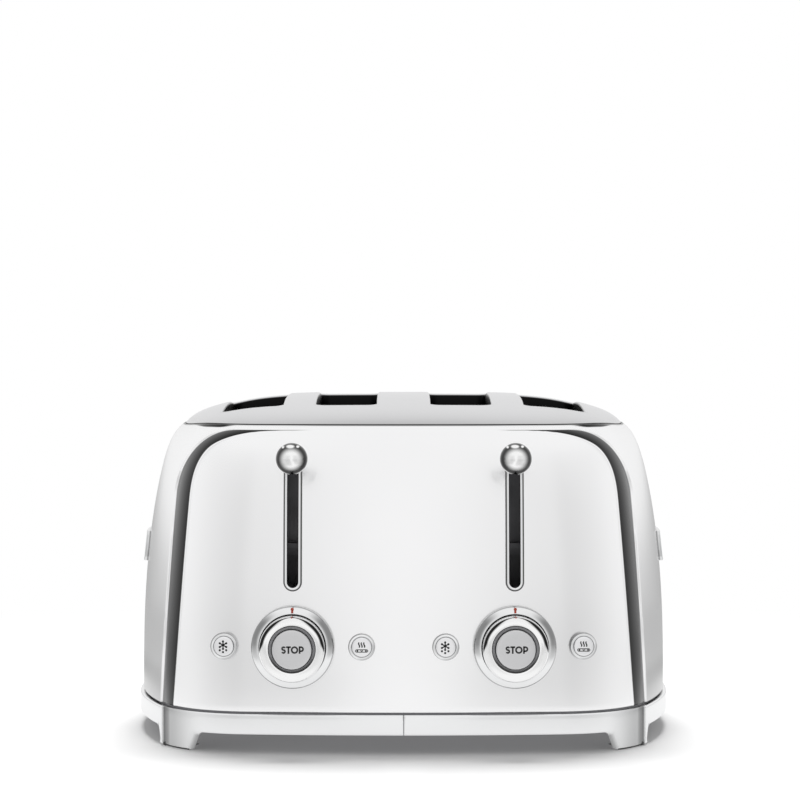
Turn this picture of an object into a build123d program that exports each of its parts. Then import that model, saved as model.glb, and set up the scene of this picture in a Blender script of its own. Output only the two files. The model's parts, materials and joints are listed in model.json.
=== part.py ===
from build123d import *
from functools import cache
import os

# A four-slot retro toaster, standing on the floor plane z = 0, front towards -Y.
# All sizes are in millimetres.

# Plan of the body at the foot of the shell: two bowed sides, a bowed front and rear, round corners
body_half_width = 162.5
body_half_depth = 153.5
side_bow_radius = 317.0
front_bow_radius = 850.0
plan_corner_radius = 60.0

# Side view of the body: it leans in slowly, then turns over at the shoulder
shell_bottom = 24.4
seam_height = 193.5
lean = 19.5
lean_power = 2.6
shoulder = 5.5
shoulder_power = 29.0
shell_wall = 1.2
shell_flange_width = 5.8

# Proud rim round the arched front and rear panels
rim_step = 1.5
arch_foot_half_width = 146.0
arch_waist_half_width = 137.5
arch_waist_height = 128.0
arch_shoulder_half_width = 129.0
arch_shoulder_height = 172.0
arch_top_height = 191.0
arch_corner_radius = 24.0

# Domed top panel and its bread slots
dome_rise = 14.4
dome_power = 4.4
dome_length_power = 2.25
dome_wall = 1.5
slot_width = 37.0
slot_length = 150.0
slot_corner = 6.0
slot_centre_y = -3.0
inner_slot_x = 35.0
outer_slot_x = 92.0
collar_wall = 1.2
tab_width = 24.0
tab_x = 63.5
tab_y = 45.0
collar_bottom = 189.5

# Base ring, feet and base plate
ring_bottom = 11.5
ring_top = 23.5
ring_overhang = 2.0
ring_wall = 3.0
ring_crease_inset = 1.7
ring_ledge_width = 9.0
ring_ledge_bottom = 16.8
ring_ledge_thickness = 2.2
ring_split_gap = 0.3
foot_width = 21.8
side_arch_half_length = 104.0
foot_flare = 5.5
arch_fillet = 5.0
pad_height = 2.5
pad_inset = 1.5
plate_thickness = 1.5
plate_rim_wall = 2.0

# Oven: frames, heater boards, bread guides and racks
frame_thickness = 1.2
frame_past_slot = 30.0
frame_top = 188.0
frame_margin = 3.0
flange_half_width = 28.0
flange_depth_past_rods = 8.0
heater_thickness = 1.0
heater_bottom = 45.0
heater_top = 170.0
heater_offset = 24.0
ribbon_thickness = 0.4
ribbon_width = 3.0
ribbon_count = 12
guide_offset = 15.5
guide_pivot_height = 50.0
guide_top = 186.0
guide_rail_radius = 1.2
guide_wire_radius = 0.9
guide_wire_count = 8
pivot_clearance = 0.07
rack_thickness = 2.4
rack_height = 8.0
rack_top = 132.0
rack_wire_half_length = 11.0
rack_wire_radius = 1.0
rack_wire_count = 7
rack_slot_clearance = 0.5

# Lever, carriage and latch
lever_x = 65.4
lever_travel = 70.0
lever_height = 174.5
knob_radius = 9.3
knob_centre_y = -161.0
pin_radius = 2.0
pin_length = 9.0
arm_width = 3.0
arm_height = 5.0
trim_half_width = 5.5
trim_opening_half_width = 3.15
trim_proud = 1.5
trim_depth = 4.0
trim_bottom = 95.8
trim_top = 182.0
trim_hole_margin = 1.3
carriage_bottom = 118.0
carriage_top = 150.0
carriage_thickness = 2.0
carriage_y = -92.0
rod_y = -100.0
rod_radius = 3.0
rod_spread = 18.0
bush_radius = 6.5
bush_clearance = 0.06
spring_radius = 3.6
spring_wire = 0.8
spring_turns = 14
spring_offset = 9.0
armature_height = 4.0
armature_half_width = 9.0
armature_half_depth = 6.0
bracket_half_width = 6.0
lug_half_width = 4.0
seat_half_width = 7.0
core_half_width = 10.0
core_limb_half_width = 3.0
coil_half_width = 7.0
coil_overhang = 3.0
latch_gap = 0.25

# Dials, buttons and the boards behind them
dial_x = 65.3
dial_z = 63.5
dial_bezel_radius = 24.2
dial_bezel_front = -158.5
dial_bezel_inner = 19.5
dial_hole_radius = 22.0
dial_knob_clearance = 0.25
dial_knob_front = -169.2
dial_skirt_rear = -151.2
dial_knob_wall = 1.5
dial_lip_width = 2.2
dial_lip_round = 1.2
dial_lip_depth = 0.8
dial_dish_depth = 3.4
housing_outer_radius = 13.8
housing_inner_radius = 11.85
housing_front = -167.6
stop_button_radius = 11.65
stop_button_front = -169.4
stop_cap_length = 9.0
stop_travel = 1.5
button_spread = 40.6
button_bezel_radius = 7.9
button_hole_radius = 6.9
button_radius = 5.85
button_clearance = 0.2
button_travel = 1.2
inner_button_front = -155.4
outer_button_front = -150.2
board_front_y = -131.0
board_thickness = 1.6
board_half_width = 50.0
board_top = 92.0
switch_height = 2.8
switch_radius = 3.4
pot_radius = 19.0
pot_height = 3.0
stem_radius = 2.0
relay_height = 18.0
relay_depth = 14.0
capacitor_height = 12.0
capacitor_depth = 12.0

# Side plates, rear parts
badge_half_length = 30.0
badge_bottom = 104.0
badge_top = 122.5
badge_thickness = 2.5
tray_inner_x = 13.5
tray_bottom = 28.0
tray_height = 9.0
tray_wall = 1.0
tray_clearance = 0.2
tray_opening_margin = 1.0
tray_front_lip = 2.0
tray_face_gap = 0.3
tray_face_thickness = 1.7
rail_half_width = 1.5
rail_inset = 4.0
rail_rear_margin = 38.5
vent_rows = 9
vent_pitch = 16.0
vent_width = 4.0
vent_margin = 21.5
gland_height = 48.0
gland_radius = 6.4
gland_flange_radius = 9.5
gland_bore_radius = 3.7
gland_reach = 161.5
gland_flange_front = 156.0
screw_inner_x = 40.0
screw_outer_x = 80.0
screw_radius = 1.5
screw_clearance = 0.05
screw_head_radius = 3.0
screw_head_height = 1.4

# Values worked out from the sizes above
front_reach = knob_radius - knob_centre_y
origin_shift = (front_reach - gland_reach) / 2
plate_bottom = ring_ledge_bottom + ring_ledge_thickness
plate_top = plate_bottom + plate_thickness
oven_front = slot_centre_y - slot_length / 2 - frame_margin
oven_rear = slot_centre_y + slot_length / 2 + frame_margin
shell_height = seam_height - shell_bottom
frame_half_width = outer_slot_x + frame_past_slot
tray_outer_x = outer_slot_x + slot_width / 2 + tray_wall
ring_crease_half_width = arch_foot_half_width - ring_crease_inset
front_arch_half_width = ring_crease_half_width - foot_width
far = 400.0


def save(shape, name):
    """Writes one node, moved so that the origin is under the middle of the whole toaster."""
    placed = Pos(0, origin_shift, 0) * shape
    export_step(placed, "parts/" + name + ".step")


def block(x0, x1, y0, y1, z0, z1):
    """A box between two corners."""
    centre = Pos((x0 + x1) / 2, (y0 + y1) / 2, (z0 + z1) / 2)
    return centre * Box(abs(x1 - x0), abs(y1 - y0), abs(z1 - z0))


def disc_y(x, z, radius, y0, y1):
    """A cylinder along Y."""
    return Pos(x, (y0 + y1) / 2, z) * Rot(90, 0, 0) * Cylinder(radius, abs(y1 - y0))


def disc_x(y, z, radius, x0, x1):
    """A cylinder along X."""
    return Pos((x0 + x1) / 2, y, z) * Rot(0, 90, 0) * Cylinder(radius, abs(x1 - x0))


def disc_z(x, y, radius, z0, z1):
    """A cylinder along Z."""
    return Pos(x, y, (z0 + z1) / 2) * Cylinder(radius, abs(z1 - z0))


def outline(offset):
    """The plan of the body, grown by offset: four bowed edges with round corners."""
    side = side_bow_radius + offset
    front = front_bow_radius + offset
    side_centre = side_bow_radius - body_half_width
    front_centre = front_bow_radius - body_half_depth
    shape = Pos(-side_centre, 0) * Circle(side) & Pos(side_centre, 0) * Circle(side)
    shape = shape & Pos(0, front_centre) * Circle(front)
    shape = shape & Pos(0, -front_centre) * Circle(front)
    corner = plan_corner_radius * (1 + offset / body_half_depth)
    return fillet(shape.vertices(), radius=corner)


def slab(offset, z0, z1):
    """The plan outline as a plate from z0 to z1."""
    return Pos(0, 0, z0) * extrude(outline(offset), amount=z1 - z0)


def inset_at(z):
    """How far the body has drawn in at height z."""
    t = max(0.0, (z - shell_bottom) / shell_height)
    return lean * t ** lean_power + shoulder * t ** shoulder_power


@cache
def body_form(offset, rim=0.0):
    """The body's form, grown by offset, and by a rim that fades out at the seam."""
    sections = []
    for share in (0, 0.2, 0.4, 0.58, 0.73, 0.85, 0.94, 1):
        z = shell_bottom + share * shell_height
        fade = 1 - share ** 12
        sections.append(Pos(0, 0, z) * outline(offset - inset_at(z) + rim * fade))
    return loft(sections)


@cache
def skin(inner_offset, outer_offset):
    """A layer on the body's form, between two offsets."""
    return body_form(outer_offset) - body_form(inner_offset)


def upright(face, y0, y1):
    """Extrudes a sketch drawn as X, Z from y0 to y1."""
    stood = Plane(origin=(0, y1, 0), x_dir=(1, 0, 0), z_dir=(0, -1, 0)) * face
    return extrude(stood, amount=y1 - y0, dir=(0, -1, 0))


def arch_window():
    """The arch that frames the front panel, as a sketch in X and Z."""
    points = [
        (-arch_foot_half_width, 0),
        (-arch_waist_half_width, arch_waist_height),
        (-arch_shoulder_half_width, arch_shoulder_height),
        (-arch_shoulder_half_width + arch_corner_radius / 2, arch_top_height),
        (arch_shoulder_half_width - arch_corner_radius / 2, arch_top_height),
        (arch_shoulder_half_width, arch_shoulder_height),
        (arch_waist_half_width, arch_waist_height),
        (arch_foot_half_width, 0),
    ]
    shape = make_face(Polyline(*points, close=True))
    rounded = shape.vertices().group_by(Axis.Y)[-1]
    return fillet(rounded, radius=arch_corner_radius / 2)


def stadium(x, z0, z1, half_width):
    """An upright slot shape with round ends, as a sketch in X and Z."""
    return Pos(x, (z0 + z1) / 2) * Rot(0, 0, 90) * SlotOverall(z1 - z0, 2 * half_width)


def lever_hole(x):
    """The hole in the shell that a lever slot trim lines."""
    half = trim_half_width - trim_hole_margin
    face = stadium(x, trim_bottom + trim_hole_margin, trim_top - trim_hole_margin, half)
    return upright(face, -far, -body_half_depth / 2)


def button_places():
    """The four small buttons: name, x and the y of the cap's front."""
    places = []
    for side, sign in (("left", -1), ("right", 1)):
        for kind, shift in (("defrost", -1), ("reheat", 1)):
            x = sign * dial_x + shift * button_spread
            outer = abs(x) > dial_x
            front = outer_button_front if outer else inner_button_front
            places.append((kind + "_button_" + side, x, front))
    return places


def tray_opening(sign):
    """The mouth in the rear wall, open at its foot, that a crumb tray slides through."""
    x0 = sign * (tray_inner_x - tray_opening_margin)
    x1 = sign * (tray_outer_x + tray_opening_margin)
    z1 = tray_bottom + tray_height + tray_opening_margin
    return block(x0, x1, body_half_depth / 2, far, 0, z1)


def shell_layer(outer):
    """The shell's sheet inside an outer form: open at the top, with a flange turned in at its foot."""
    inner = body_form(-shell_wall) & block(-far, far, -far, far, shell_bottom + shell_wall, far)
    mouth = slab(-shell_wall - shell_flange_width, shell_bottom - 1, shell_bottom + shell_wall + 1)
    return outer - inner - mouth


def make_arched_panels():
    """The pressed front and rear panels, each framed by the arch; controls in front, trays at the rear."""
    sheet = shell_layer(body_form(0))
    half = body_half_depth / 2
    front = sheet & upright(arch_window(), -far, -half)
    rear = sheet & upright(arch_window(), half, far)
    for sign in (-1, 1):
        front = front - lever_hole(sign * lever_x)
        front = front - disc_y(sign * dial_x, dial_z, dial_hole_radius, -far, -half)
        rear = rear - tray_opening(sign)
    for name, x, cap_front in button_places():
        front = front - disc_y(x, dial_z, button_hole_radius, -far, -half)
    rear = rear - disc_y(0, gland_height, gland_radius, half, far)
    return front, rear


def make_side_wraps():
    """Left and right wraps round the sides, proud of the panels and joined over the arches."""
    window = arch_window()
    half = body_half_depth / 2
    wrap = shell_layer(body_form(0, rim=rim_step))
    wrap = wrap - upright(window, -far, -half) - upright(window, half, far)
    return wrap & block(-far, 0, -far, far, 0, far), wrap & block(0, far, -far, far, 0, far)


def dome(offset, drop):
    """The top panel's dome, grown by offset and lowered by drop: flat across, rounder from front to rear."""
    seam_offset = -lean - shoulder
    reach = body_half_width + seam_offset
    half_length = body_half_depth + seam_offset
    sections = []
    for share in (1.0, 0.95, 0.9, 0.82, 0.7, 0.5, 0.3):
        z = seam_height + dome_rise * (1 - share ** dome_power)
        inset = reach * (1 - share)
        shorter = half_length * share ** (dome_power / dome_length_power) / (half_length - inset)
        section = scale(outline(seam_offset + offset - inset), by=(1, shorter, 1))
        sections.append(Pos(0, 0, z - drop) * section)
    return loft(sections)


def slot_prism(x, margin, z0, z1):
    """A bread slot, grown by margin."""
    face = RectangleRounded(slot_width + 2 * margin, slot_length + 2 * margin, slot_corner)
    return Pos(x, slot_centre_y, z0) * extrude(face, amount=z1 - z0)


def make_top_panel():
    """Domed panel with tabs that grip inside the shell and a turned-down collar at each slot."""
    outer = dome(-0.4, 0)
    panel = outer - dome(-0.4 - dome_wall, dome_wall)
    seam_offset = -lean - shoulder
    skirt_outer = seam_offset - shell_wall - 0.3
    skirt = slab(skirt_outer, seam_height - 6.5, seam_height + 0.4)
    skirt = skirt - slab(skirt_outer - dome_wall, seam_height - 7, seam_height + 1)
    for tab in tab_blocks():
        panel = panel + (skirt & tab)
    top = seam_height + dome_rise + 5
    for x in slot_positions():
        collar = slot_prism(x, collar_wall, collar_bottom, top)
        below = slab(seam_offset - 2 * dome_wall, collar_bottom - 1, seam_height)
        panel = panel + (collar & (outer + below))
    for x in slot_positions():
        panel = panel - slot_prism(x, 0, collar_bottom - 20, top)
    return panel


def tab_blocks():
    """Where the top panel's tabs stand: two along each edge."""
    blocks = []
    half = tab_width / 2
    for sx in (-1, 1):
        for sy in (-1, 1):
            x = sx * tab_x
            y = sy * tab_y
            blocks.append(block(x - half, x + half, 0, sy * far, 0, far))
            blocks.append(block(0, sx * far, y - half, y + half, 0, far))
    return blocks


def slot_positions():
    """The X of each slot, from left to right."""
    return [-outer_slot_x, -inner_slot_x, inner_slot_x, outer_slot_x]


def ring_form(grow, z0, z1):
    """The base ring's outer form; its sides stand prouder than its front and rear."""
    side_band = slab(ring_overhang + rim_step + grow, z0, z1)
    keep_front = block(-ring_crease_half_width - grow, ring_crease_half_width + grow, -far, far, z0, z1)
    return slab(ring_overhang + grow, z0, z1) + (side_band - keep_front)


def arch_cutter():
    """The low arches between the feet, on all four sides."""
    front = leg_profile(front_arch_half_width)
    side = leg_profile(side_arch_half_length)
    along_y = upright(front, -far, far)
    along_x = Rot(0, 0, 90) * upright(side, -far, far)
    return along_y, along_x


def cut_arches(shape):
    """Opens the arches between the feet in a shape."""
    along_y, along_x = arch_cutter()
    return shape - along_y - along_x


def leg_profile(half_length):
    """Half trapezoid between two feet, with rounded top corners, in X and Z."""
    points = [
        (-half_length - foot_flare, -1),
        (-half_length, ring_bottom),
        (half_length, ring_bottom),
        (half_length + foot_flare, -1),
    ]
    shape = make_face(Polyline(*points, close=True))
    return fillet(shape.vertices().group_by(Axis.Y)[-1], radius=arch_fillet)


def corner_blocks(z0, z1):
    """Four upright blocks over the feet."""
    blocks = []
    for sx in (-1, 1):
        for sy in (-1, 1):
            x0 = sx * (front_arch_half_width - arch_fillet)
            y0 = sy * (side_arch_half_length - arch_fillet)
            blocks.append(block(x0, sx * far, y0, sy * far, z0, z1))
    return blocks


def screw_places():
    """Screws that hold the base plate to the middle of the ring's ledge, along the front and rear bows."""
    radius = front_bow_radius + ring_overhang - ring_wall - ring_ledge_width / 2
    places = []
    for distance in (screw_inner_x, screw_outer_x):
        y = (radius ** 2 - distance ** 2) ** 0.5 - front_bow_radius + body_half_depth
        places += [(-distance, -y), (distance, -y), (-distance, y), (distance, y)]
    return places


def make_base_rings():
    """The cast base ring with its feet, split at the middle into a left and a right half."""
    inner = ring_overhang - ring_wall
    ring = ring_form(0, pad_height, ring_top) - slab(inner, 0, ring_top + 1)
    ledge = slab(inner, ring_ledge_bottom, plate_bottom)
    ledge = ledge - slab(inner - ring_ledge_width, 0, ring_top)
    feet = slab(inner, pad_height, ring_ledge_bottom + 1)
    for corner in corner_blocks(pad_height, ring_ledge_bottom + 1):
        ring = ring + (feet & corner)
    ring = cut_arches(ring + ledge)
    for x, y in screw_places():
        ring = ring - disc_z(x, y, screw_radius + screw_clearance, 0, ring_top + 1)
    half_gap = ring_split_gap / 2
    left = ring & block(-far, -half_gap, -far, far, 0, far)
    right = ring & block(half_gap, far, -far, far, 0, far)
    return left, right


def make_foot_pads():
    """Four rubber pads, a little smaller than the feet that they sit under."""
    pads = []
    form = cut_arches(ring_form(-pad_inset, 0, pad_height))
    for corner in corner_blocks(0, pad_height):
        pads.append(form & corner)
    return pads


def rail_block(x):
    """A rail that a crumb tray slides on."""
    x0 = x - rail_half_width
    x1 = x + rail_half_width
    rear = body_half_depth - rail_rear_margin
    return block(x0, x1, oven_front + 2, rear, plate_top, tray_bottom - tray_clearance)


def make_base_plate():
    """Pressed plate with an upturned rim that carries the shell, tray rails and screw holes."""
    edge = ring_overhang - ring_wall - 0.2
    plate = slab(edge, plate_bottom, plate_top)
    rim = slab(edge, plate_bottom, shell_bottom) - slab(edge - plate_rim_wall, 0, shell_bottom + 1)
    plate = plate + rim
    for sign in (-1, 1):
        vent_x0 = sign * (tray_inner_x + vent_margin)
        vent_x1 = sign * (tray_outer_x - vent_margin)
        for x in (tray_inner_x + rail_inset, tray_outer_x - rail_inset):
            plate = plate + rail_block(sign * x)
        for row in range(vent_rows):
            y = oven_front + vent_pitch * (row + 1) - vent_width / 2
            plate = plate - block(vent_x0, vent_x1, y, y + vent_width, 0, plate_top + 1)
    for x, y in screw_places():
        plate = plate - disc_z(x, y, screw_radius + screw_clearance, 0, ring_top)
    return plate


def frame_plate(y0, y1):
    """A frame plate across the oven, with holes for the guide pivots and slots for the racks."""
    plate = block(-frame_half_width, frame_half_width, y0, y1, plate_top, frame_top)
    low = rack_top - rack_height - lever_travel - 3
    half = rack_thickness / 2 + rack_slot_clearance
    for x in slot_positions():
        plate = plate - block(x - half, x + half, y0 - 1, y1 + 1, low, rack_top + 3)
        for shift in (-guide_offset, guide_offset):
            hole = guide_rail_radius + pivot_clearance
            plate = plate - disc_y(x + shift, guide_pivot_height, hole, y0 - 1, y1 + 1)
    return plate


def make_front_frame():
    """Front frame plate with two flanges that hold the tops of the guide rods."""
    plate = frame_plate(oven_front - frame_thickness, oven_front)
    for sign in (-1, 1):
        x = sign * lever_x
        x0 = x - flange_half_width
        x1 = x + flange_half_width
        front = rod_y - flange_depth_past_rods
        flange = block(x0, x1, front, oven_front, frame_top - frame_thickness, frame_top)
        for shift in (-rod_spread, rod_spread):
            flange = flange - disc_z(x + shift, rod_y, rod_radius, frame_top - 5, frame_top + 1)
        plate = plate + flange
    return plate


def make_rear_frame():
    """Rear frame plate, open at its foot where the crumb trays pass."""
    plate = frame_plate(oven_rear, oven_rear + frame_thickness)
    for sign in (-1, 1):
        x0 = sign * (tray_inner_x - tray_opening_margin)
        x1 = sign * (tray_outer_x + tray_opening_margin)
        top = tray_bottom + tray_height + tray_opening_margin
        plate = plate - block(x0, x1, oven_rear - 1, oven_rear + frame_thickness + 1, plate_top - 1, top)
    return plate


def heater_positions():
    """The X of the inner, middle and outer heater board of a pair of slots."""
    middle = (inner_slot_x + outer_slot_x) / 2
    return [inner_slot_x - heater_offset, middle, outer_slot_x + heater_offset]


def make_heater(x):
    """A mica board wound with flat heating ribbon on both faces."""
    half = heater_thickness / 2
    board = block(x - half, x + half, oven_front, oven_rear, heater_bottom, heater_top)
    pitch = (heater_top - heater_bottom) / (ribbon_count + 1)
    reach = half + ribbon_thickness
    for row in range(ribbon_count):
        z = heater_bottom + pitch * (row + 1)
        low = z - ribbon_width / 2
        high = z + ribbon_width / 2
        board = board + block(x - reach, x + reach, oven_front + 6, oven_rear - 6, low, high)
    return board


def make_bread_guide(x):
    """A wire cage that hinges on its bottom rail, in holes in the two frame plates."""
    overrun = frame_thickness + 0.8
    y0 = oven_front + 3
    y1 = oven_rear - 3
    cage = disc_y(x, guide_pivot_height, guide_rail_radius, oven_front - overrun, oven_rear + overrun)
    cage = cage + disc_y(x, guide_top, guide_rail_radius, y0, y1)
    pitch = (y1 - y0 - 4) / (guide_wire_count - 1)
    for index in range(guide_wire_count):
        y = y0 + 2 + pitch * index
        cage = cage + disc_z(x, y, guide_wire_radius, guide_pivot_height, guide_top)
    return cage


def make_bread_rack(x):
    """A bar that carries the bread on short cross wires, fixed to the carriage at its front."""
    half = rack_thickness / 2
    rear = oven_rear + frame_thickness + 4
    rack = block(x - half, x + half, carriage_y, rear, rack_top - rack_height, rack_top)
    pitch = (slot_length - 20) / (rack_wire_count - 1)
    for index in range(rack_wire_count):
        y = slot_centre_y - slot_length / 2 + 10 + pitch * index
        z = rack_top - rack_wire_radius
        reach = rack_wire_half_length
        rack = rack + disc_x(y, z, rack_wire_radius, x - reach, x + reach)
    return rack


def make_carriage(sign):
    """Pressed carriage plate with two bushes, the lever arm and the lug for its spring."""
    x = sign * lever_x
    front = carriage_y - carriage_thickness
    x0 = sign * (inner_slot_x - 5)
    x1 = sign * (outer_slot_x + 5)
    carriage = block(x0, x1, front, carriage_y, carriage_bottom, carriage_top)
    for shift in (-rod_spread, rod_spread):
        carriage = carriage + disc_z(x + shift, rod_y, bush_radius, carriage_bottom, carriage_top)
    arm_low = lever_height - arm_height / 2
    arm_high = lever_height + arm_height / 2
    bracket_x0 = x - bracket_half_width
    bracket_x1 = x + bracket_half_width
    carriage = carriage + block(bracket_x0, bracket_x1, front, carriage_y, carriage_top - 1, arm_high)
    arm_end = knob_centre_y + knob_radius + 0.6
    half = arm_width / 2
    carriage = carriage + block(x - half, x + half, arm_end, carriage_y, arm_low, arm_high)
    carriage = carriage + disc_y(x, lever_height, pin_radius, arm_end - pin_length, arm_end + 1)
    lug_x = x + sign * spring_offset
    lug_x0 = lug_x - lug_half_width
    lug_x1 = lug_x + lug_half_width
    lug_front = rod_y - spring_radius - spring_wire
    carriage = carriage + block(lug_x0, lug_x1, lug_front, carriage_y, carriage_top - 2, carriage_top)
    depth = armature_half_depth
    seat_x0 = x - seat_half_width
    seat_x1 = x + seat_half_width
    seat_top = carriage_bottom + 3
    carriage = carriage + block(seat_x0, seat_x1, rod_y - depth, carriage_y, carriage_bottom, seat_top)
    for shift in (-rod_spread, rod_spread):
        hole = rod_radius + bush_clearance
        carriage = carriage - disc_z(x + shift, rod_y, hole, carriage_bottom - 1, carriage_top + 1)
    return carriage


def make_lever_knob(x):
    """Ball knob with a blind hole for the pin of the lever arm."""
    ball = Pos(x, knob_centre_y, lever_height) * Sphere(knob_radius)
    arm_end = knob_centre_y + knob_radius + 0.6
    neck = disc_y(x, lever_height, trim_opening_half_width - 0.35, knob_centre_y, arm_end)
    hole = disc_y(x, lever_height, pin_radius, arm_end - pin_length, arm_end + 1)
    return ball + neck - hole


def make_lever_trim(x):
    """Bright trim round a lever slot: a proud ring on the panel and a lining through the shell."""
    outer = upright(stadium(x, trim_bottom, trim_top, trim_half_width), -far, -body_half_depth / 2)
    edge = trim_half_width - trim_opening_half_width
    opening = stadium(x, trim_bottom + edge, trim_top - edge, trim_opening_half_width)
    ring = (skin(0, trim_proud) & outer) + (skin(-trim_depth, 0) & lever_hole(x))
    return ring - upright(opening, -far, -body_half_depth / 2)


def make_armature(x):
    """Steel plate under the carriage that the latch magnet holds."""
    low = carriage_bottom - armature_height
    depth = armature_half_depth
    half = armature_half_width
    return block(x - half, x + half, rod_y - depth, rod_y + depth, low, carriage_bottom)


def make_latch_magnet(x):
    """Iron core with three limbs and a coil on the middle one, standing on the base plate."""
    top = carriage_bottom - armature_height - lever_travel - latch_gap
    y0 = rod_y - armature_half_depth
    y1 = rod_y + armature_half_depth
    limb = core_limb_half_width
    core = block(x - core_half_width, x + core_half_width, y0, y1, plate_top, top)
    for sign in (-1, 1):
        window_end = x + sign * (coil_half_width + 0.5)
        core = core - block(x + sign * limb, window_end, y0 - 1, y1 + 1, plate_top + 4, top + 1)
    coil_y0 = y0 - coil_overhang
    coil_y1 = y1 + coil_overhang
    coil = block(x - coil_half_width, x + coil_half_width, coil_y0, coil_y1, plate_top + 5, top - 1)
    coil = coil - block(x - limb, x + limb, y0, y1, plate_top, top)
    return [core, coil]


def make_guide_rods():
    """Two upright rods for each carriage."""
    rods = []
    for sign in (-1, 1):
        for shift in (-rod_spread, rod_spread):
            rods.append(disc_z(sign * lever_x + shift, rod_y, rod_radius, plate_top, frame_top))
    return rods


def make_return_spring(sign):
    """Extension spring between the carriage's lug and the frame's flange."""
    x = sign * (lever_x + spring_offset)
    low = carriage_top + spring_wire
    high = frame_top - frame_thickness - spring_wire
    height = high - low
    path = Helix(pitch=height / spring_turns, height=height, radius=spring_radius)
    wire = Plane(origin=path @ 0, z_dir=path % 0) * Circle(spring_wire)
    coil = sweep(wire, path=path, is_frenet=True)
    return Pos(x, rod_y, low) * coil


def make_dial_bezel(x):
    """Fixed ring on the panel that the dial knob turns in."""
    ring = disc_y(x, dial_z, dial_bezel_radius, dial_bezel_front, -body_half_depth / 2)
    front_edges = ring.edges().group_by(Axis.Y)[0]
    ring = fillet(front_edges, radius=1.8)
    ring = ring - body_form(0)
    lining = disc_y(x, dial_z, dial_hole_radius, dial_bezel_front + 3, board_front_y - 12)
    ring = ring + lining
    return ring - disc_y(x, dial_z, dial_bezel_inner, -far, 0)


def make_dial_knob(x):
    """Dished ring with a hollow shaft that drives the potentiometer on the board."""
    outer = dial_bezel_inner - dial_knob_clearance
    bore = housing_outer_radius + 0.1
    front = dial_knob_front
    rear = board_front_y - pot_height - 0.2
    points = [
        (bore, rear),
        (bore + dial_knob_wall, rear),
        (bore + dial_knob_wall, dial_skirt_rear),
        (outer, dial_skirt_rear),
        (outer, front + dial_lip_round),
        (outer - dial_lip_round, front),
        (outer - dial_lip_width, front + dial_lip_depth),
        (bore, front + dial_dish_depth),
    ]
    face = make_face(Polyline(*points, close=True))
    return Pos(x, 0, dial_z) * revolve(face, axis=Axis.Y)


def make_stop_housing(x):
    """Dark tube on the board that the STOP button slides in."""
    tube = disc_y(x, dial_z, housing_outer_radius, housing_front, board_front_y)
    tube = fillet(tube.edges().group_by(Axis.Y)[0], radius=0.6)
    return tube - disc_y(x, dial_z, housing_inner_radius, -far, 0)


def make_stop_button(x):
    """Round cap with a stem that reaches to its switch."""
    cap = disc_y(x, dial_z, stop_button_radius, stop_button_front, stop_button_front + stop_cap_length)
    cap = fillet(cap.edges().group_by(Axis.Y)[0], radius=0.7)
    tip = board_front_y - switch_height - stop_travel - 0.2
    return cap + disc_y(x, dial_z, stem_radius, stop_button_front + stop_cap_length / 2, tip)


def make_small_button(x, front):
    """Small round cap with a stem that reaches to its switch."""
    cap = disc_y(x, dial_z, button_radius, front, -body_half_depth + 11)
    cap = fillet(cap.edges().group_by(Axis.Y)[0], radius=0.5)
    tip = board_front_y - switch_height - button_travel - 0.2
    return cap + disc_y(x, dial_z, stem_radius, front + 3, tip)


def make_button_bezel(x, front):
    """Bright rim round a small button, lining its hole in the shell."""
    rim = disc_y(x, dial_z, button_bezel_radius, front + 0.6, -body_half_depth / 2)
    rim = fillet(rim.edges().group_by(Axis.Y)[0], radius=0.6)
    rim = rim - body_form(0)
    lining = disc_y(x, dial_z, button_hole_radius, front + 2, -body_half_depth + 14)
    return rim + lining - disc_y(x, dial_z, button_radius + button_clearance, -far, 0)


def make_control_board(sign):
    """Circuit board on the base plate, with a ring potentiometer and three push switches."""
    x = sign * dial_x
    rear = board_front_y + board_thickness
    board = block(x - board_half_width, x + board_half_width, board_front_y, rear, plate_top, board_top)
    pot = disc_y(x, dial_z, pot_radius, board_front_y - pot_height, board_front_y)
    pot = pot - disc_y(x, dial_z, housing_outer_radius + 0.1, -far, board_front_y)
    board = board + pot
    for shift in (-button_spread, 0, button_spread):
        front = board_front_y - switch_height
        board = board + disc_y(x + shift, dial_z, switch_radius, front, board_front_y)
    low = plate_top + 4
    board = board + block(x + 24, x + 44, rear, rear + relay_depth, low, low + relay_height)
    board = board + block(x - 44, x - 26, rear, rear + capacitor_depth, low, low + capacitor_height)
    return board


def make_crumb_tray(sign):
    """Shallow tray with a curved face plate that closes its mouth in the rear of the shell."""
    x0 = sign * tray_inner_x
    x1 = sign * tray_outer_x
    top = tray_bottom + tray_height
    front = oven_front + 2
    tray = block(x0, x1, front, body_half_depth + 5, tray_bottom, top)
    inside_x0 = sign * (tray_inner_x + tray_wall)
    inside_x1 = sign * (tray_outer_x - tray_wall)
    rear_wall = body_half_depth - 14
    tray = tray - block(inside_x0, inside_x1, front + tray_wall, rear_wall, tray_bottom + tray_wall, top + 1)
    tray = tray & body_form(tray_face_gap + 0.5)
    face = skin(tray_face_gap, tray_face_gap + tray_face_thickness)
    lip = tray_front_lip + tray_opening_margin
    x2 = sign * (tray_inner_x - lip)
    x3 = sign * (tray_outer_x + lip)
    face = face & block(x2, x3, 0, far, shell_bottom + 0.4, top + lip)
    return tray + face


def make_badge(sign):
    """Plain plate that follows the bowed side of the shell."""
    layer = body_form(badge_thickness, rim=rim_step) - body_form(0, rim=rim_step)
    half = badge_half_length
    plate = block(0, sign * far, -half, half, badge_bottom, badge_top)
    rounded = fillet(plate.edges().filter_by(Axis.X), radius=3)
    return layer & rounded


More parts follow.
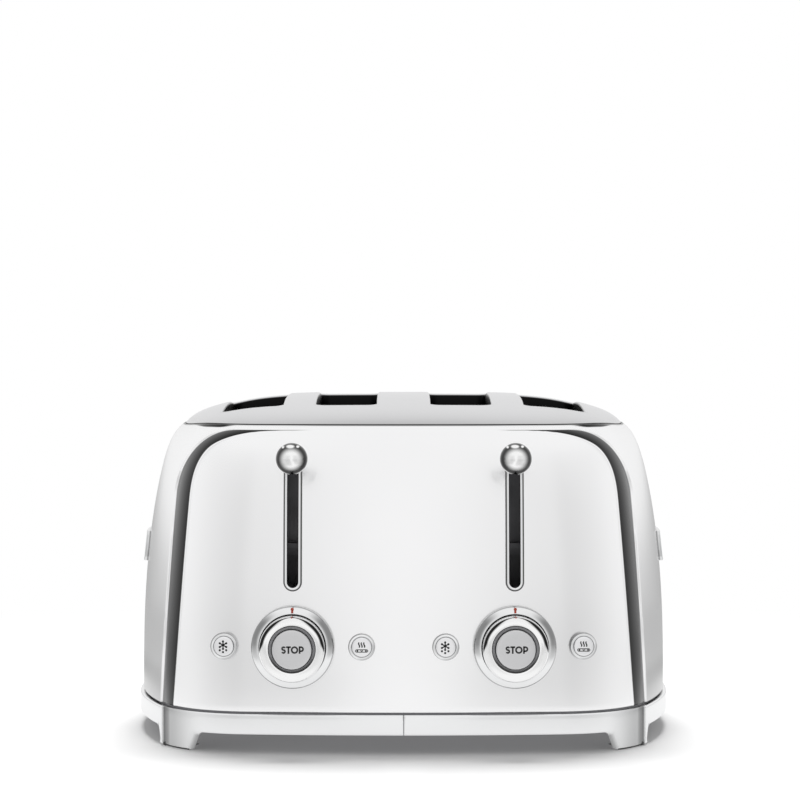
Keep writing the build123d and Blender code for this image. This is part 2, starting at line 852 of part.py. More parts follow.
def make_cord_gland():
    """Bush in the rear wall that the mains cord passes through."""
    flange = disc_y(0, gland_height, gland_flange_radius, body_half_depth / 2, gland_flange_front)
    flange = flange - body_form(0)
    barrel = disc_y(0, gland_height, gland_radius, body_half_depth - 10, gland_reach)
    barrel = fillet(barrel.edges().group_by(Axis.Y)[-1], radius=1.5)
    return flange + barrel - disc_y(0, gland_height, gland_bore_radius, 0, far)


def make_screws():
    """Screws through the ring's ledge into the base plate."""
    screws = []
    for x, y in screw_places():
        shank = disc_z(x, y, screw_radius, ring_ledge_bottom - 0.5, plate_top + 2)
        head = disc_z(x, y, screw_head_radius, ring_ledge_bottom - screw_head_height, ring_ledge_bottom)
        screws.append(shank + head)
    return screws


def group(shapes):
    """Several separate solids as one node."""
    solids = []
    for shape in shapes:
        solids.extend(shape.solids())
    return Compound(solids)


def main():
    front_panel, rear_panel = make_arched_panels()
    save(front_panel, "front_panel")
    save(rear_panel, "rear_panel")
    wrap_left, wrap_right = make_side_wraps()
    save(wrap_left, "side_wrap_left")
    save(wrap_right, "side_wrap_right")
    save(make_top_panel(), "top_panel")
    ring_left, ring_right = make_base_rings()
    save(ring_left, "base_ring_left")
    save(ring_right, "base_ring_right")
    save(group(make_foot_pads()), "foot_pads")
    save(make_base_plate(), "base_plate")
    save(make_front_frame(), "front_frame")
    save(make_rear_frame(), "rear_frame")
    save(group(make_guide_rods()), "guide_rods")
    save(group(make_screws()), "screws")
    save(make_cord_gland(), "cord_gland")
    for number, x in enumerate(slot_positions(), start=1):
        save(make_bread_rack(x), "bread_rack_" + str(number))
        save(make_bread_guide(x - guide_offset), "bread_guide_" + str(number) + "_left")
        save(make_bread_guide(x + guide_offset), "bread_guide_" + str(number) + "_right")
    bezels = []
    for name, x, front in button_places():
        save(make_small_button(x, front), name)
        bezels.append(make_button_bezel(x, front))
    save(group(bezels), "button_bezels")
    for side, sign in (("left", -1), ("right", 1)):
        save(group([make_heater(sign * x) for x in heater_positions()]), "heaters_" + side)
        save(make_carriage(sign), "carriage_" + side)
        save(make_lever_knob(sign * lever_x), "lever_knob_" + side)
        save(make_lever_trim(sign * lever_x), "lever_trim_" + side)
        save(make_armature(sign * lever_x), "armature_" + side)
        save(group(make_latch_magnet(sign * lever_x)), "latch_magnet_" + side)
        save(make_return_spring(sign), "return_spring_" + side)
        save(make_dial_bezel(sign * dial_x), "dial_bezel_" + side)
        save(make_dial_knob(sign * dial_x), "dial_knob_" + side)
        save(make_stop_housing(sign * dial_x), "stop_housing_" + side)
        save(make_stop_button(sign * dial_x), "stop_button_" + side)
        save(make_control_board(sign), "control_board_" + side)
        save(make_crumb_tray(sign), "crumb_tray_" + side)
        save(make_badge(sign), "side_badge_" + side)


main()
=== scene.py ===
import json
import math

import bmesh
import bpy
import numpy as np
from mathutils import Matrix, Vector
from mathutils.geometry import delaunay_2d_cdt


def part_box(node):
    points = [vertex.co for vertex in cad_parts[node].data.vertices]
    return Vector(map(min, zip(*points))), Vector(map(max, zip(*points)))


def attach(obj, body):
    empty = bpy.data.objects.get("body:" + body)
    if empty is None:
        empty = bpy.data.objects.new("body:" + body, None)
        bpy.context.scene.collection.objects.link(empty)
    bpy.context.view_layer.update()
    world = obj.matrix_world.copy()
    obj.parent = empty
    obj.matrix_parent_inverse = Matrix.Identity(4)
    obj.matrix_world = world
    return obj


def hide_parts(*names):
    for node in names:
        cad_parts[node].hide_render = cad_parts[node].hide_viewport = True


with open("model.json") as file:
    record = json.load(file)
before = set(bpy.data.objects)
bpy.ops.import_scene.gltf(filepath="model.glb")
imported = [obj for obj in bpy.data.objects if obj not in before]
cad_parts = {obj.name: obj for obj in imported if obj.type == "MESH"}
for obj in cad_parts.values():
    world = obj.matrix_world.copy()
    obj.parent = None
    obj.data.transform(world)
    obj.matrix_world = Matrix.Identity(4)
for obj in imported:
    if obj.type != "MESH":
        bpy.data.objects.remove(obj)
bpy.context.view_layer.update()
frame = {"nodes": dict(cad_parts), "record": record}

# Sizes are in millimetres, in the toaster's own frame: Y = 0 is the middle of the body.
MM = 0.001
left_wrap_low, left_wrap_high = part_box("side_wrap_left")
middle_y = (left_wrap_low.y + left_wrap_high.y) / 2 / MM
sides = (("left", -1), ("right", 1))

# Plan of the body: bowed front, rear and sides with round corners
body_half_width = 162.5
body_half_depth = 153.5
side_bow_radius = 317.0
front_bow_radius = 850.0
plan_corner_radius = 60.0
side_centre = side_bow_radius - body_half_width
front_centre = front_bow_radius - body_half_depth

# Side view of the body
shell_bottom = 24.4
seam_height = 193.5
lean = 19.5
lean_power = 2.6
shoulder = 5.5
shoulder_power = 29.0
shell_wall = 1.2
flange_width = 7.0
seam_groove = 0.9
shell_top = seam_height - seam_groove
seam_dip = 3.1
seam_dip_half_length = 125.0
seam_dip_power = 6
dip_start_x = 112.0
dip_width_x = 24.0

# Arched panel: the fold inside and the step outside, both as half widths that fall with height
rim_step = 1.5
rim_fade_power = 12
arch_top = 190.0
fold_arch = {"foot": 139.2, "slope": 0.0795, "corner_x": 56.0, "corner_z": 45.0, "power": 3.0}
step_arch = {"foot": 147.2, "slope": 0.068, "corner_x": 34.0, "corner_z": 40.0, "power": 2.0}
fold_height = 0.35
fold_half_width = 0.85
fold_narrows_from = 176.0
fold_narrows_by = 0.72
fold_tip_x = (56.0, 92.0)
fold_shift = 0.8
fold_shift_z = (179.0, 188.0)

# Points of the shell: hem rows of height above the foot and offset, and stations near the fold and the step
hem_rows = ((0.0, -1.0), (0.1, -0.55), (0.35, -0.2), (0.7, -0.04))
lip_rows = ((0.25, -0.2), (0.3, -0.55), (0.1, -0.95), (-0.4, -shell_wall))
# Hem rows painted fully dark, as painted shade in the gap over the ring
dark_hem_rows = 2
row_zones = ((shell_bottom + 1.1, 150.0, 42), (150.0, 180.0, 25), (180.0, shell_top, 52))
inner_zone = (shell_top - 3, shell_bottom + 2, 12)
station_counts = (46, 7, 62)
fold_clear = (3.4, 3.2)
step_clear = (2.2, 3.0)
near_fold = (-2.6, -2.0, -1.5, -1.1, -0.8, -0.5, -0.25, 0.0, 0.25, 0.5, 0.8, 1.1, 1.5, 2.0, 2.6)
near_step = (-1.6, -1.1, -0.7, -0.4, -0.2, 0.0, 0.2, 0.4, 0.6, 0.8, 1.0, 1.3, 1.7, 2.2)

# Painted shade of the shell: band beside the arch, line under the dome and foot of the wraps
band_dark_power = 2.2
seam_line_width = (0.25, 1.25)
seam_line_rise_x = (99.0, 111.0)
seam_line_fall_x = (118.0, 128.0)
seam_line_dark_x = (98.0, 107.0)
seam_line_middle_x = (45.0, 75.0)
wrap_foot_dark = 0.46
wrap_foot_z = (33.0, 52.0)
wrap_foot_y = (-50.0, 20.0)

# Domed top panel and bread slots
dome_rise = 14.4
dome_power = 4.4
dome_front_power = 2.36
dome_rear_power = 3.2
dome_dip_power = 30.0
dome_edge_offset = -25.4
dome_edge_margin = 0.4
dome_least_share = 0.3
dome_most_share = 1.02
dome_pitch = 2.6
dome_grid_half = (136.0, 127.0)
dome_edge_gap = 1.3
slot_edge_gap = 1.2
# Painted darker reflection on the dome towards the front seam: its strength, the height over the seam over
# which it fades, and its spans in -Y and X
dome_fall_dark = 0.3
dome_fall_height = 4.2
dome_fall_y = (10.0, 60.0)
dome_fall_x = (10.0, 95.0)
dome_fall_end_x = (95.0, 130.0)
dome_edge_rows = ((0, 0), (-0.05, 0.25), (0.15, 0.5), (0.6, 0.65), (2.2, 0.7), (2.4, 7.0))
slot_width = 37.0
slot_length = 150.0
slot_corner = 6.0
slot_centre_y = -3.0
slot_x = (-92.0, -35.0, 35.0, 92.0)
slot_lip = 1.6
slot_point_gap = 2.5
collar_bottom = 189.5
collar_back_share = 0.75
collar_back_drop = 2.2

# Base ring and feet
ring_bottom = 11.5
ring_top = 23.5
ring_overhang = 2.0
ring_wall = 3.0
ring_crease_x = 144.3
front_arch_half = 122.5
side_arch_half = 104.0
foot_flare = 5.5
arch_fillet = 5.0
foot_bottom = 0.8
foot_depth = 15.0
foot_edge_depth = 1.5
foot_depth_run = 9.0
split_half_gap = 0.15
ring_edge = 1.0
leg_edge_small = 0.8
leg_edge_large = 3.4
split_round_end = 0.85
split_round = 0.7
split_round_depth = 0.5
split_stations = (split_half_gap, 0.35, 0.7, 1.2)
ring_first_station = 3
ring_station_pitch = 2.2
leg_points = 40
front_leg_span = (-3, 5)
side_leg_span = (5, -4)
ring_inner_rise = (2.0, 3.0)
near_crease = (-2, -1.4, -1, -0.7, -0.5, -0.3, -0.1, 0.1, 0.3, 0.5, 0.7, 1, 1.4, 2)
ring_face_shares = (0, 0.02, 0.05, 0.09, 0.14, 0.22, 0.32, 0.45, 0.6, 0.8, 1)

# Side badges: rows of inset, height over the side and painted shade, from the wall to the field; the painted
# shade is darkest at the foot of the wall and in the groove inside the border, and the field is darker than
# the border
badge_half_length = 30.0
badge_bottom = 104.0
badge_top = 122.5
badge_corner = 3.0
badge_rows = (
    (0.0, -0.3, 0.6), (0.0, 0.6, 0.6), (0.0, 1.0, 0.15), (0.0, 1.9, 0.15), (0.2, 2.3, 0.3), (0.5, 2.5, 0.0),
    (1.4, 2.5, 0.0), (1.6, 2.1, 0.7), (1.9, 1.9, 0.7), (2.8, 1.9, 0.5), (6.0, 1.9, 0.5),
    ((badge_top - badge_bottom) / 2, 1.9, 0.5))

# Levers and their trims
lever_x = 65.4
lever_height = 174.5
knob_radius = 9.3
knob_y = -161.0
knob_turn = 162.0
neck_radius = 2.8
trim_half = 5.5
trim_opening_half = 3.15
trim_low = 95.8
trim_high = 182.0
trim_proud = 1.6
trim_edge_proud = 0.25
trim_lining = 6.0
trim_point_gap = 3.0
trim_seat = 1.3
# Painted highlights on the balls: middle across and up, and half sizes, as shares of the ball's radius
ball_highlights = ((-0.07, 0.8, 0.25, 0.1), (-0.53, 0.76, 0.08, 0.07), (0.4, 0.79, 0.09, 0.07))

# Dials and buttons, with spans of painted shade in degrees from twelve o'clock
dial_x = 65.3
dial_z = 63.5
dial_front = -169.2
dial_radius = 19.25
dial_back = -151.2
dial_bore = 13.9
dial_hub_radius = 15.4
dial_hub_tip = -134.4
dish_edge = 18.2
dish_foot = 14.0
dish_lip = 0.15
dish_fall = 1.75
crescent_rise = (2, 45)
crescent_end = (76, 102)
bezel_inner = 19.5
bezel_crest = 20.5
bezel_outer = 24.2
bezel_front = -158.5
bezel_slope = 0.33
rim_grey_rise = (22, 52)
rim_grey_end = (74, 112)
stop_ring_front = -167.6
stop_ring_inner = 11.85
stop_ring_outer = 13.8
stop_ring_back = -131.0
stop_front = -169.4
stop_tip = -135.5
stop_radius = 11.65
stem_radius = 2.0
button_spread = 40.6
outer_button_front = -150.2
inner_button_front = -155.4
button_radius = 5.85
button_back = -143.0
button_tip = -135.2
rim_mark_z = dial_z + 22.6
rim_stem_z = (dial_z + 21.75, dial_z + 20.3)
dial_mark_z = dial_z + 18.75
rim_mark_width = 1.9
rim_stem_width = 1.3
dial_mark_width = 0.8
button_rim_inner = 6.05
button_rim_outer = 7.9
print_gap = 0.01

# Openings through the shell, from one Y to another
front_cut = (-200.0, -60.0)
rear_cut = (60.0, 200.0)
dial_opening = 22.0
button_opening = 6.9
tray_opening_x = (12.5, 112.5)
tray_opening_z = (27.0, 38.0)
gland_height = 48.0
gland_opening = 6.4

# Camera and lamp, in metres and degrees
camera_place = (-0.0022, -1.9986, 0.269)
camera_tip = 1.87
camera_lens = 142.2
sensor_width = 36.0
lamp_place = (0.0, 0.45, 1.55)
lamp_target = (0.0, -0.05, 0.0)
lamp_size = (1.0, 0.7)
lamp_power = 34.0

# Studio levels: greys by the turn from the front to the rear, at the horizon and a little above it
horizon_levels = ((0, 1.0), (7, 0.9), (11, 0.71), (29, 0.64), (48, 0.68), (67, 0.78), (90, 0.89), (110, 0.93),
                  (142, 0.62), (165, 0.46), (180, 0.42))
middle_levels = ((0, 1.0), (5, 0.965), (10, 0.87), (20, 0.79), (29, 0.765), (48, 0.8), (67, 0.85), (90, 0.92),
                 (110, 0.95), (145, 0.95), (180, 0.88))
floor_levels = ((0, 1.0), (7, 0.9), (11, 0.71), (29, 0.64), (48, 0.72), (67, 0.84), (90, 0.85), (104, 0.6),
                (118, 0.42), (135, 0.38), (180, 0.38))
horizon_height = (-0.05, 0.02)
upper_height = (0.25, 0.6)
upper_level = 0.95
near_floor_level = 0.95
diffuse_level = 0.4
floor_glow = 0.08
mirror_floor_share = 0.88
floor_reach = 0.85
floor_white_from = (0.25, 0.75)
floor_zones_from = (0.29, 0.4)
floor_colour = (0.93, 0.93, 0.93)
floor_roughness = 0.7

# Metals: colour, roughness, stretch and scale of the wear, and how much it changes roughness and bump
metals = {
    "mirror_steel": ((0.97, 0.97, 0.975), 0.22, (1, 1, 12), 260.0, 0.015, 0.004),
    "satin_steel": ((0.8, 0.8, 0.81), 0.3, (0.4, 30, 30), 240.0, 0.06, 0.12),
    "cast_chrome": ((0.88, 0.885, 0.89), 0.17, (1, 1, 1), 420.0, 0.04, 0.05),
    "knob_chrome": ((0.98, 0.98, 0.98), 0.19, (1, 1, 1), 500.0, 0.02, 0.02),
    "trim_chrome": ((0.88, 0.885, 0.89), 0.08, (1, 1, 1), 500.0, 0.02, 0.02),
    "sheet_steel": ((0.2, 0.2, 0.21), 0.42, (1, 1, 1), 90.0, 0.1, 0.1),
    "wire_chrome": ((0.8, 0.81, 0.82), 0.16, (1, 1, 8), 400.0, 0.05, 0.05),
    "button_face": ((0.92, 0.92, 0.93), 0.34, (1, 1, 1), 900.0, 0.05, 0.08),
    "magnet_iron": ((0.2, 0.2, 0.21), 0.5, (1, 40, 1), 300.0, 0.1, 0.2),
    "spring_steel": ((0.6, 0.6, 0.61), 0.25, (1, 1, 1), 500.0, 0.06, 0.05),
    "screw_steel": ((0.65, 0.65, 0.66), 0.3, (1, 1, 1), 500.0, 0.06, 0.05),
}
metal_tint = 0.965
metal_tint_scale = 14.0
metal_bump_depth = 0.00002

# Plastics, rubber and print: colour, roughness, scale of the grain and its bump
plastics = {
    "black_plastic": ((0.03, 0.03, 0.03), 0.5, 1800.0, 0.1),
    "dark_gloss": ((0.27, 0.27, 0.28), 0.14, 900.0, 0.02),
    "rubber": ((0.035, 0.035, 0.035), 0.75, 2400.0, 0.3),
    "mica": ((0.55, 0.48, 0.36), 0.55, 700.0, 0.2),
    "circuit_board": ((0.05, 0.2, 0.1), 0.4, 500.0, 0.05),
    "print_black": ((0.012, 0.012, 0.012), 0.5, 2000.0, 0.05),
    "print_red": ((0.62, 0.09, 0.05), 0.45, 2000.0, 0.05),
}
plastic_tint = 0.8
plastic_spread = 0.06
plastic_bump_depth = 0.00005

# Materials that turn to a dark grey level where the mesh attribute named shade is 1; the attribute carries
# painted shade and painted reflections, and an even light grey on the STOP buttons
shaded_to = {"mirror_steel": 0.0, "satin_steel": 0.0, "cast_chrome": 0.0, "knob_chrome": 0.0,
             "trim_chrome": 0.0, "button_face": 0.0, "dark_gloss": 0.004}


# Plan and side view of the body


def plan_arcs(offset):
    """Corner radius, corner centre and the two angles where the plan's arcs meet, grown by offset."""
    corner = plan_corner_radius * (1 + offset / body_half_depth)
    side_gap = side_bow_radius + offset - corner
    front_gap = front_bow_radius + offset - corner
    span = math.hypot(side_centre, front_centre)
    along = (side_gap ** 2 - front_gap ** 2 + span ** 2) / (2 * span)
    away = np.sqrt(side_gap ** 2 - along ** 2)
    corner_x = -side_centre + (along * side_centre + away * front_centre) / span
    corner_y = (along * front_centre - away * side_centre) / span
    front_end = np.arctan2(corner_x, front_centre - corner_y)
    side_start = np.arctan2(corner_x + side_centre, -corner_y)
    return corner, corner_x, corner_y, front_end, side_start


def plan_point(angle, offset):
    """X and Y on the plan of the front right quarter, by outward angle from -Y towards +X."""
    corner, corner_x, corner_y, front_end, side_start = plan_arcs(offset)
    sine, cosine = np.sin(angle), np.cos(angle)
    front, side = front_bow_radius + offset, side_bow_radius + offset
    x = np.where(angle < side_start, corner_x + corner * sine, side * sine - side_centre)
    x = np.where(angle < front_end, front * sine, x)
    y = np.where(angle < side_start, corner_y - corner * cosine, -side * cosine)
    y = np.where(angle < front_end, front_centre - front * cosine, y)
    return x, y


def plan_length(offset):
    """Angles and lengths at the ends of the quarter plan's three arcs."""
    corner, corner_x, corner_y, front_end, side_start = plan_arcs(offset)
    angles = [0.0, front_end, side_start, math.pi / 2]
    radii = [front_bow_radius + offset, corner, side_bow_radius + offset]
    lengths = [0.0]
    for index, radius in enumerate(radii):
        lengths.append(lengths[-1] + radius * (angles[index + 1] - angles[index]))
    return angles, lengths


def angle_at_x(x, offset):
    """The outward angle of the quarter plan at a distance x from the middle."""
    corner, corner_x, corner_y, front_end, side_start = plan_arcs(offset)
    if x < (front_bow_radius + offset) * math.sin(front_end):
        return math.asin(x / (front_bow_radius + offset))
    if x < corner_x + corner * math.sin(side_start):
        return math.asin((x - corner_x) / corner)
    return math.asin(min(1.0, (x + side_centre) / (side_bow_radius + offset)))


def inset_at(z):
    """How far the body has drawn in at height z."""
    t = np.clip((np.asarray(z, float) - shell_bottom) / (seam_height - shell_bottom), 0, 1)
    return lean * t ** lean_power + shoulder * t ** shoulder_power


def arch_half_width(arch, z):
    """Half width of an arch curve at height z."""
    share = max(0.0, (arch["corner_z"] - max(0.0, arch_top - z)) / arch["corner_z"])
    drop = arch["corner_x"] * (1 - (1 - share ** arch["power"]) ** (1 / arch["power"]))
    return arch["foot"] - arch["slope"] * z - drop


def smooth(value, low, high):
    """0 below low, 1 above high and a smooth rise between."""
    t = np.clip((np.asarray(value, float) - low) / (high - low), 0, 1)
    return t * t * (3 - 2 * t)


def dip_at(x, y):
    """How far the seam dips towards the middle of each side."""
    along = np.clip(1 - (y / seam_dip_half_length) ** 2, 0, 1)
    return seam_dip * along * smooth(np.abs(x), dip_start_x, dip_start_x + dip_width_x)


def front_y(x, z, proud=0.0):
    """Y of the front panel's face near the middle of the front, proud by some amount."""
    radius = front_bow_radius - inset_at(z) + proud
    return front_centre - np.sqrt(radius ** 2 - np.asarray(x, float) ** 2)


def signed_plan_distance(x, y, offset):
    """Distance outside the plan grown by offset, negative inside; works on arrays."""
    x, y = np.abs(x), -np.abs(y)
    corner, corner_x, corner_y, front_end, side_start = plan_arcs(offset)
    angle = np.arctan2(x - corner_x, corner_y - y)
    at_corner = np.hypot(x - corner_x, y - corner_y) - corner
    at_side = np.hypot(x + side_centre, y) - (side_bow_radius + offset)
    at_front = np.hypot(x, y - front_centre) - (front_bow_radius + offset)
    in_corner = (angle > front_end) & (angle < side_start)
    return np.where(in_corner, at_corner, np.maximum(at_side, at_front))


# Outlines and forms


def evenly(low, high, count):
    """Numbers from low to high in equal steps."""
    return list(np.linspace(low, high, count))


def arc_line(x, z, radius, start, end, count=24):
    """Points of an arc from start to end degrees, 0 to the right and 90 up."""
    turns = [math.radians(start + (end - start) * i / count) for i in range(count + 1)]
    return [(x + radius * math.cos(turn), z + radius * math.sin(turn)) for turn in turns]


def circle_outline(x, z, radius, steps):
    """Points round a circle in X and Z."""
    return arc_line(x, z, radius, 90, -270, steps)[:-1]


def stadium_outline(x, low, high, half, steps=24):
    """Outline of an upright slot with round ends."""
    return arc_line(x, high - half, half, 0, 180, steps) + arc_line(x, low + half, half, 180, 360, steps)


def box_corners(half_x, half_y, radius, steps):
    """The four round corners of a box about the origin, as a list of lines that together run round it."""
    turns = ((1, 1, 0), (-1, 1, 90), (-1, -1, 180), (1, -1, 270))
    return [arc_line(sx * (half_x - radius), sy * (half_y - radius), radius, start, start + 90, steps)
            for sx, sy, start in turns]


def filled(outline, gap):
    """The closed outline with points added where they stand further apart than about the gap."""
    points = []
    for here, after in zip(outline, outline[1:] + outline[:1]):
        parts = max(1, round(math.dist(here, after) / gap))
        for i in range(parts):
            share = i / parts
            points.append((here[0] + (after[0] - here[0]) * share, here[1] + (after[1] - here[1]) * share))
    return np.array(points)


def rounded(corners, steps):
    """A polyline of (a, b, radius) with round corners, as a list of (a, b)."""
    points = [corners[0][:2]]
    for before, here, after in zip(corners, corners[1:], corners[2:]):
        a, b, c = (Vector(p[:2]) for p in (before, here, after))
        if here[2] <= 0:
            points.append(tuple(b))
            continue
        u, v = (a - b).normalized(), (c - b).normalized()
        half = u.angle(v) / 2
        reach = min(here[2] / math.tan(half), 0.49 * (a - b).length, 0.49 * (c - b).length)
        radius = reach * math.tan(half)
        centre = b + (u + v).normalized() * (radius / math.sin(half))
        start, end = b + u * reach - centre, b + v * reach - centre
        from_turn = math.degrees(math.atan2(start.y, start.x))
        to_turn = from_turn - math.degrees(start.angle_signed(end))
        points += arc_line(centre.x, centre.y, radius, from_turn, to_turn, steps)
    return points + [corners[-1][:2]]


def grid_faces(rows, columns, wrap_columns=False, wrap_rows=False):
    """Quads of a grid of points, row by row."""
    faces = []
    for row in range(rows if wrap_rows else rows - 1):
        for column in range(columns if wrap_columns else columns - 1):
            next_row = (row + 1) % rows
            next_column = (column + 1) % columns
            faces.append((row * columns + column, row * columns + next_column,
                          next_row * columns + next_column, next_row * columns + column))
    return faces


def joined(forms):
    """Several forms, each a pair of points and faces, as one."""
    points, faces = [], []
    for more_points, more_faces in forms:
        faces += [tuple(len(points) + i for i in face) for face in more_faces]
        points += [tuple(point) for point in more_points]
    return points, faces


def stacked(loops, closed=False):
    """Points and faces of closed loops with equal counts, joined one to the next."""
    return np.concatenate(loops), grid_faces(len(loops), len(loops[0]), wrap_columns=True, wrap_rows=closed)


def upright_prism(outline, y0, y1):
    """A closed prism of an outline in X and Z between two Y."""
    count = len(outline)
    points = [(x, y, z) for y in (y0, y1) for x, z in outline]
    faces = [(i, (i + 1) % count, count + (i + 1) % count, count + i) for i in range(count)]
    faces += [tuple(range(count)), tuple(range(2 * count - 1, count - 1, -1))]
    return points, faces


def turned(x, z, profile, segments=96, closed=False):
    """Points and faces of a body turned about an axis along Y, from a profile of (radius, y)."""
    points = []
    for radius, y in profile:
        for step in range(segments):
            angle = 2 * math.pi * step / segments
            points.append((x + radius * math.sin(angle), y, z + radius * math.cos(angle)))
    return points, grid_faces(len(profile), segments, wrap_columns=True, wrap_rows=closed)


def turned_ring(x, z, corners, steps=6, segments=128):
    """A turned ring whose closed section is given by (radius, y, round) corners."""
    section = rounded(corners + [corners[0][:2] + (0,)], steps)[:-1]
    return turned(x, z, section, segments, closed=True)


def mirrored(rows, x_sign, y_sign):
    """Rows of points with the signs of X and Y changed; a shade after Z stays as it is."""
    signs = np.ones(rows.shape[-1])
    signs[:2] = x_sign, y_sign
    return rows * signs


def mirrored_loop(quarter):
    """Makes a full loop from the front right quarter of each row of points."""
    right_rear = mirrored(quarter[:, -2::-1], 1, -1)
    left_rear = mirrored(quarter[:, 1:], -1, -1)
    left_front = mirrored(quarter[:, -2:0:-1], -1, 1)
    return np.concatenate([quarter, right_rear, left_rear, left_front], axis=1)


# Pieces


def add_object(name, data):
    """Puts an object into the scene."""
    added = bpy.data.objects.new(name, data)
    bpy.context.scene.collection.objects.link(added)
    return added


def clean_mesh(name, form, merge=False):
    """A mesh with outward faces from points in millimetres, with Y from the middle of the body."""
    points, faces = form
    mesh = bpy.data.meshes.new(name)
    moved = (np.asarray(points, float) + (0.0, middle_y, 0.0)) * MM
    mesh.from_pydata(moved.tolist(), [], faces)
    work = bmesh.new()
    work.from_mesh(mesh)
    if merge:
        bmesh.ops.remove_doubles(work, verts=work.verts, dist=1e-6)
    bmesh.ops.recalc_face_normals(work, faces=work.faces)
    work.to_mesh(mesh)
    work.free()
    return mesh


def piece_from(name, form, material, body, replaced=(), sharp=35.0, merge=False):
    """A piece that rides on a body, with its material; the CAD nodes that it replaces are hidden."""
    mesh = clean_mesh(name, form, merge)
    mesh.shade_smooth()
    mesh.set_sharp_from_angle(angle=math.radians(sharp))
    mesh.materials.append(materials[material])
    piece = add_object(name, mesh)
    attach(piece, body)
    if replaced:
        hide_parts(*replaced)
    return piece


def set_shade(piece, values):
    """Writes the shade attribute, one value a vertex."""
    mask = piece.data.attributes.new("shade", "FLOAT", "POINT")
    mask.data.foreach_set("value", np.clip(values, 0, 1).astype(np.float32))


def places_of(piece):
    """Vertex places of a piece in millimetres, with Y from the middle of the body."""
    places = np.array([tuple(v.co) for v in piece.data.vertices])
    return places / MM - (0, middle_y, 0)


def polar(places, x):
    """Distance from the axis of a dial or button at x, height over it, and turn from twelve o'clock."""
    across, up = places[:, 0] - x, places[:, 2] - dial_z
    return np.hypot(across, up), up, np.degrees(np.arctan2(np.abs(across), up))


# Materials


def set_inputs(tree, node, inputs):
    """Gives each input of a node a value, or links it from a socket."""
    for key, value in inputs.items():
        if isinstance(value, bpy.types.NodeSocket):
            tree.links.new(value, node.inputs[key])
        else:
            node.inputs[key].default_value = value


def add_node(tree, kind, inputs, **settings):
    """Adds a shader node with its settings and inputs."""
    node = tree.nodes.new("ShaderNode" + kind)
    for key, value in settings.items():
        setattr(node, key, value)
    set_inputs(tree, node, inputs)
    return node


def calculated(tree, operation, *values):
    """The result of a math node on one or two values."""
    return add_node(tree, "Math", dict(enumerate(values)), operation=operation).outputs["Value"]


def blended(tree, factor, first, second):
    """A colour that goes from first to second by a factor; each is a socket, a colour or a grey level."""
    first, second = ((end, end, end, 1) if isinstance(end, float) else end for end in (first, second))
    node = add_node(tree, "Mix", {"Factor": factor, "A": first, "B": second}, data_type="RGBA")
    return node.outputs["Result"]


def texture_noise(tree, stretch, scale):
    """Noise in object space, stretched by a factor along each axis."""
    place = add_node(tree, "TexCoord", {})
    mapping = add_node(tree, "Mapping", {"Vector": place.outputs["Object"], "Scale": stretch})
    noise = add_node(tree, "TexNoise", {"Vector": mapping.outputs["Vector"], "Scale": scale, "Detail": 3.0})
    return noise.outputs["Fac"]


def new_material(name, colour, metallic, roughness):
    """A material with a Principled shader; gives the material, its node tree and the shader."""
    material = bpy.data.materials.new(name)
    material.use_nodes = True
    tree = material.node_tree
    shader = tree.nodes["Principled BSDF"]
    set_inputs(tree, shader, {"Base Color": (*colour, 1), "Metallic": metallic, "Roughness": roughness})
    return material, tree, shader


def add_wear(tree, shader, colour, tint, broad, roughness, spread, fine, bump, depth):
    """Varies the colour with a broad noise, and roughness and bump with a fine one."""
    varied = blended(tree, broad, (*(channel * tint for channel in colour), 1), (*colour, 1))
    rough = add_node(tree, "MapRange", {
        "Value": fine, "To Min": roughness - spread, "To Max": roughness + spread})
    relief = add_node(tree, "Bump", {"Height": fine, "Strength": bump, "Distance": depth})
    set_inputs(tree, shader, {"Base Color": varied, "Roughness": rough.outputs["Result"],
                              "Normal": relief.outputs["Normal"]})


def metal(name, colour, roughness, stretch, scale, spread, bump):
    """A metal with fine wear."""
    material, tree, shader = new_material(name, colour, 1.0, roughness)
    fine = texture_noise(tree, stretch, scale)
    broad = texture_noise(tree, (1, 1, 1), metal_tint_scale)
    add_wear(tree, shader, colour, metal_tint, broad, roughness, spread, fine, bump, metal_bump_depth)
    return material


def plastic(name, colour, roughness, grain, bump):
    """Moulded plastic or rubber with a fine grain."""
    material, tree, shader = new_material(name, colour, 0.0, roughness)
    fine = texture_noise(tree, (1, 1, 1), grain)
    add_wear(tree, shader, colour, plastic_tint, fine, roughness, plastic_spread, fine, bump,
             plastic_bump_depth)
    return material


def make_materials():
    """All materials by name, with the painted shade on those that carry one."""
    made = {name: metal(name, *values) for name, values in metals.items()}
    made.update({name: plastic(name, *values) for name, values in plastics.items()})
    for name, level in shaded_to.items():
        tree = made[name].node_tree
        base = tree.nodes["Principled BSDF"].inputs["Base Color"]
        mask = add_node(tree, "Attribute", {}, attribute_name="shade")
        shown = blended(tree, mask.outputs["Fac"], base.links[0].from_socket, level)
        tree.links.new(shown, base)
    return made


def paint_cad_nodes():
    """Gives every CAD node the material of its slot."""
    for row in frame["record"]["subparts"]:
        mesh = frame["nodes"][row["node"]].data
        mesh.materials.clear()
        mesh.materials.append(materials[row["material_slot"]])


# Body shell


def quarter_stations(z):
    """Stations along the quarter plan at height z, with the distances of the fold and the step."""
    offset = -float(inset_at(z))
    angles, lengths = plan_length(offset)
    fold = float(np.interp(angle_at_x(arch_half_width(fold_arch, z), offset), angles, lengths))
    step = float(np.interp(angle_at_x(arch_half_width(step_arch, z), offset), angles, lengths))
    middle, between, outside = station_counts
    stations = evenly(0, fold - fold_clear[0], middle) + [fold + gap for gap in near_fold]
    stations += evenly(fold + fold_clear[1], step - step_clear[0], between)
    stations += [step + gap for gap in near_step]
    stations = np.array(stations + evenly(step + step_clear[1], lengths[-1], outside))
    return np.interp(stations, lengths, angles), stations, fold, step


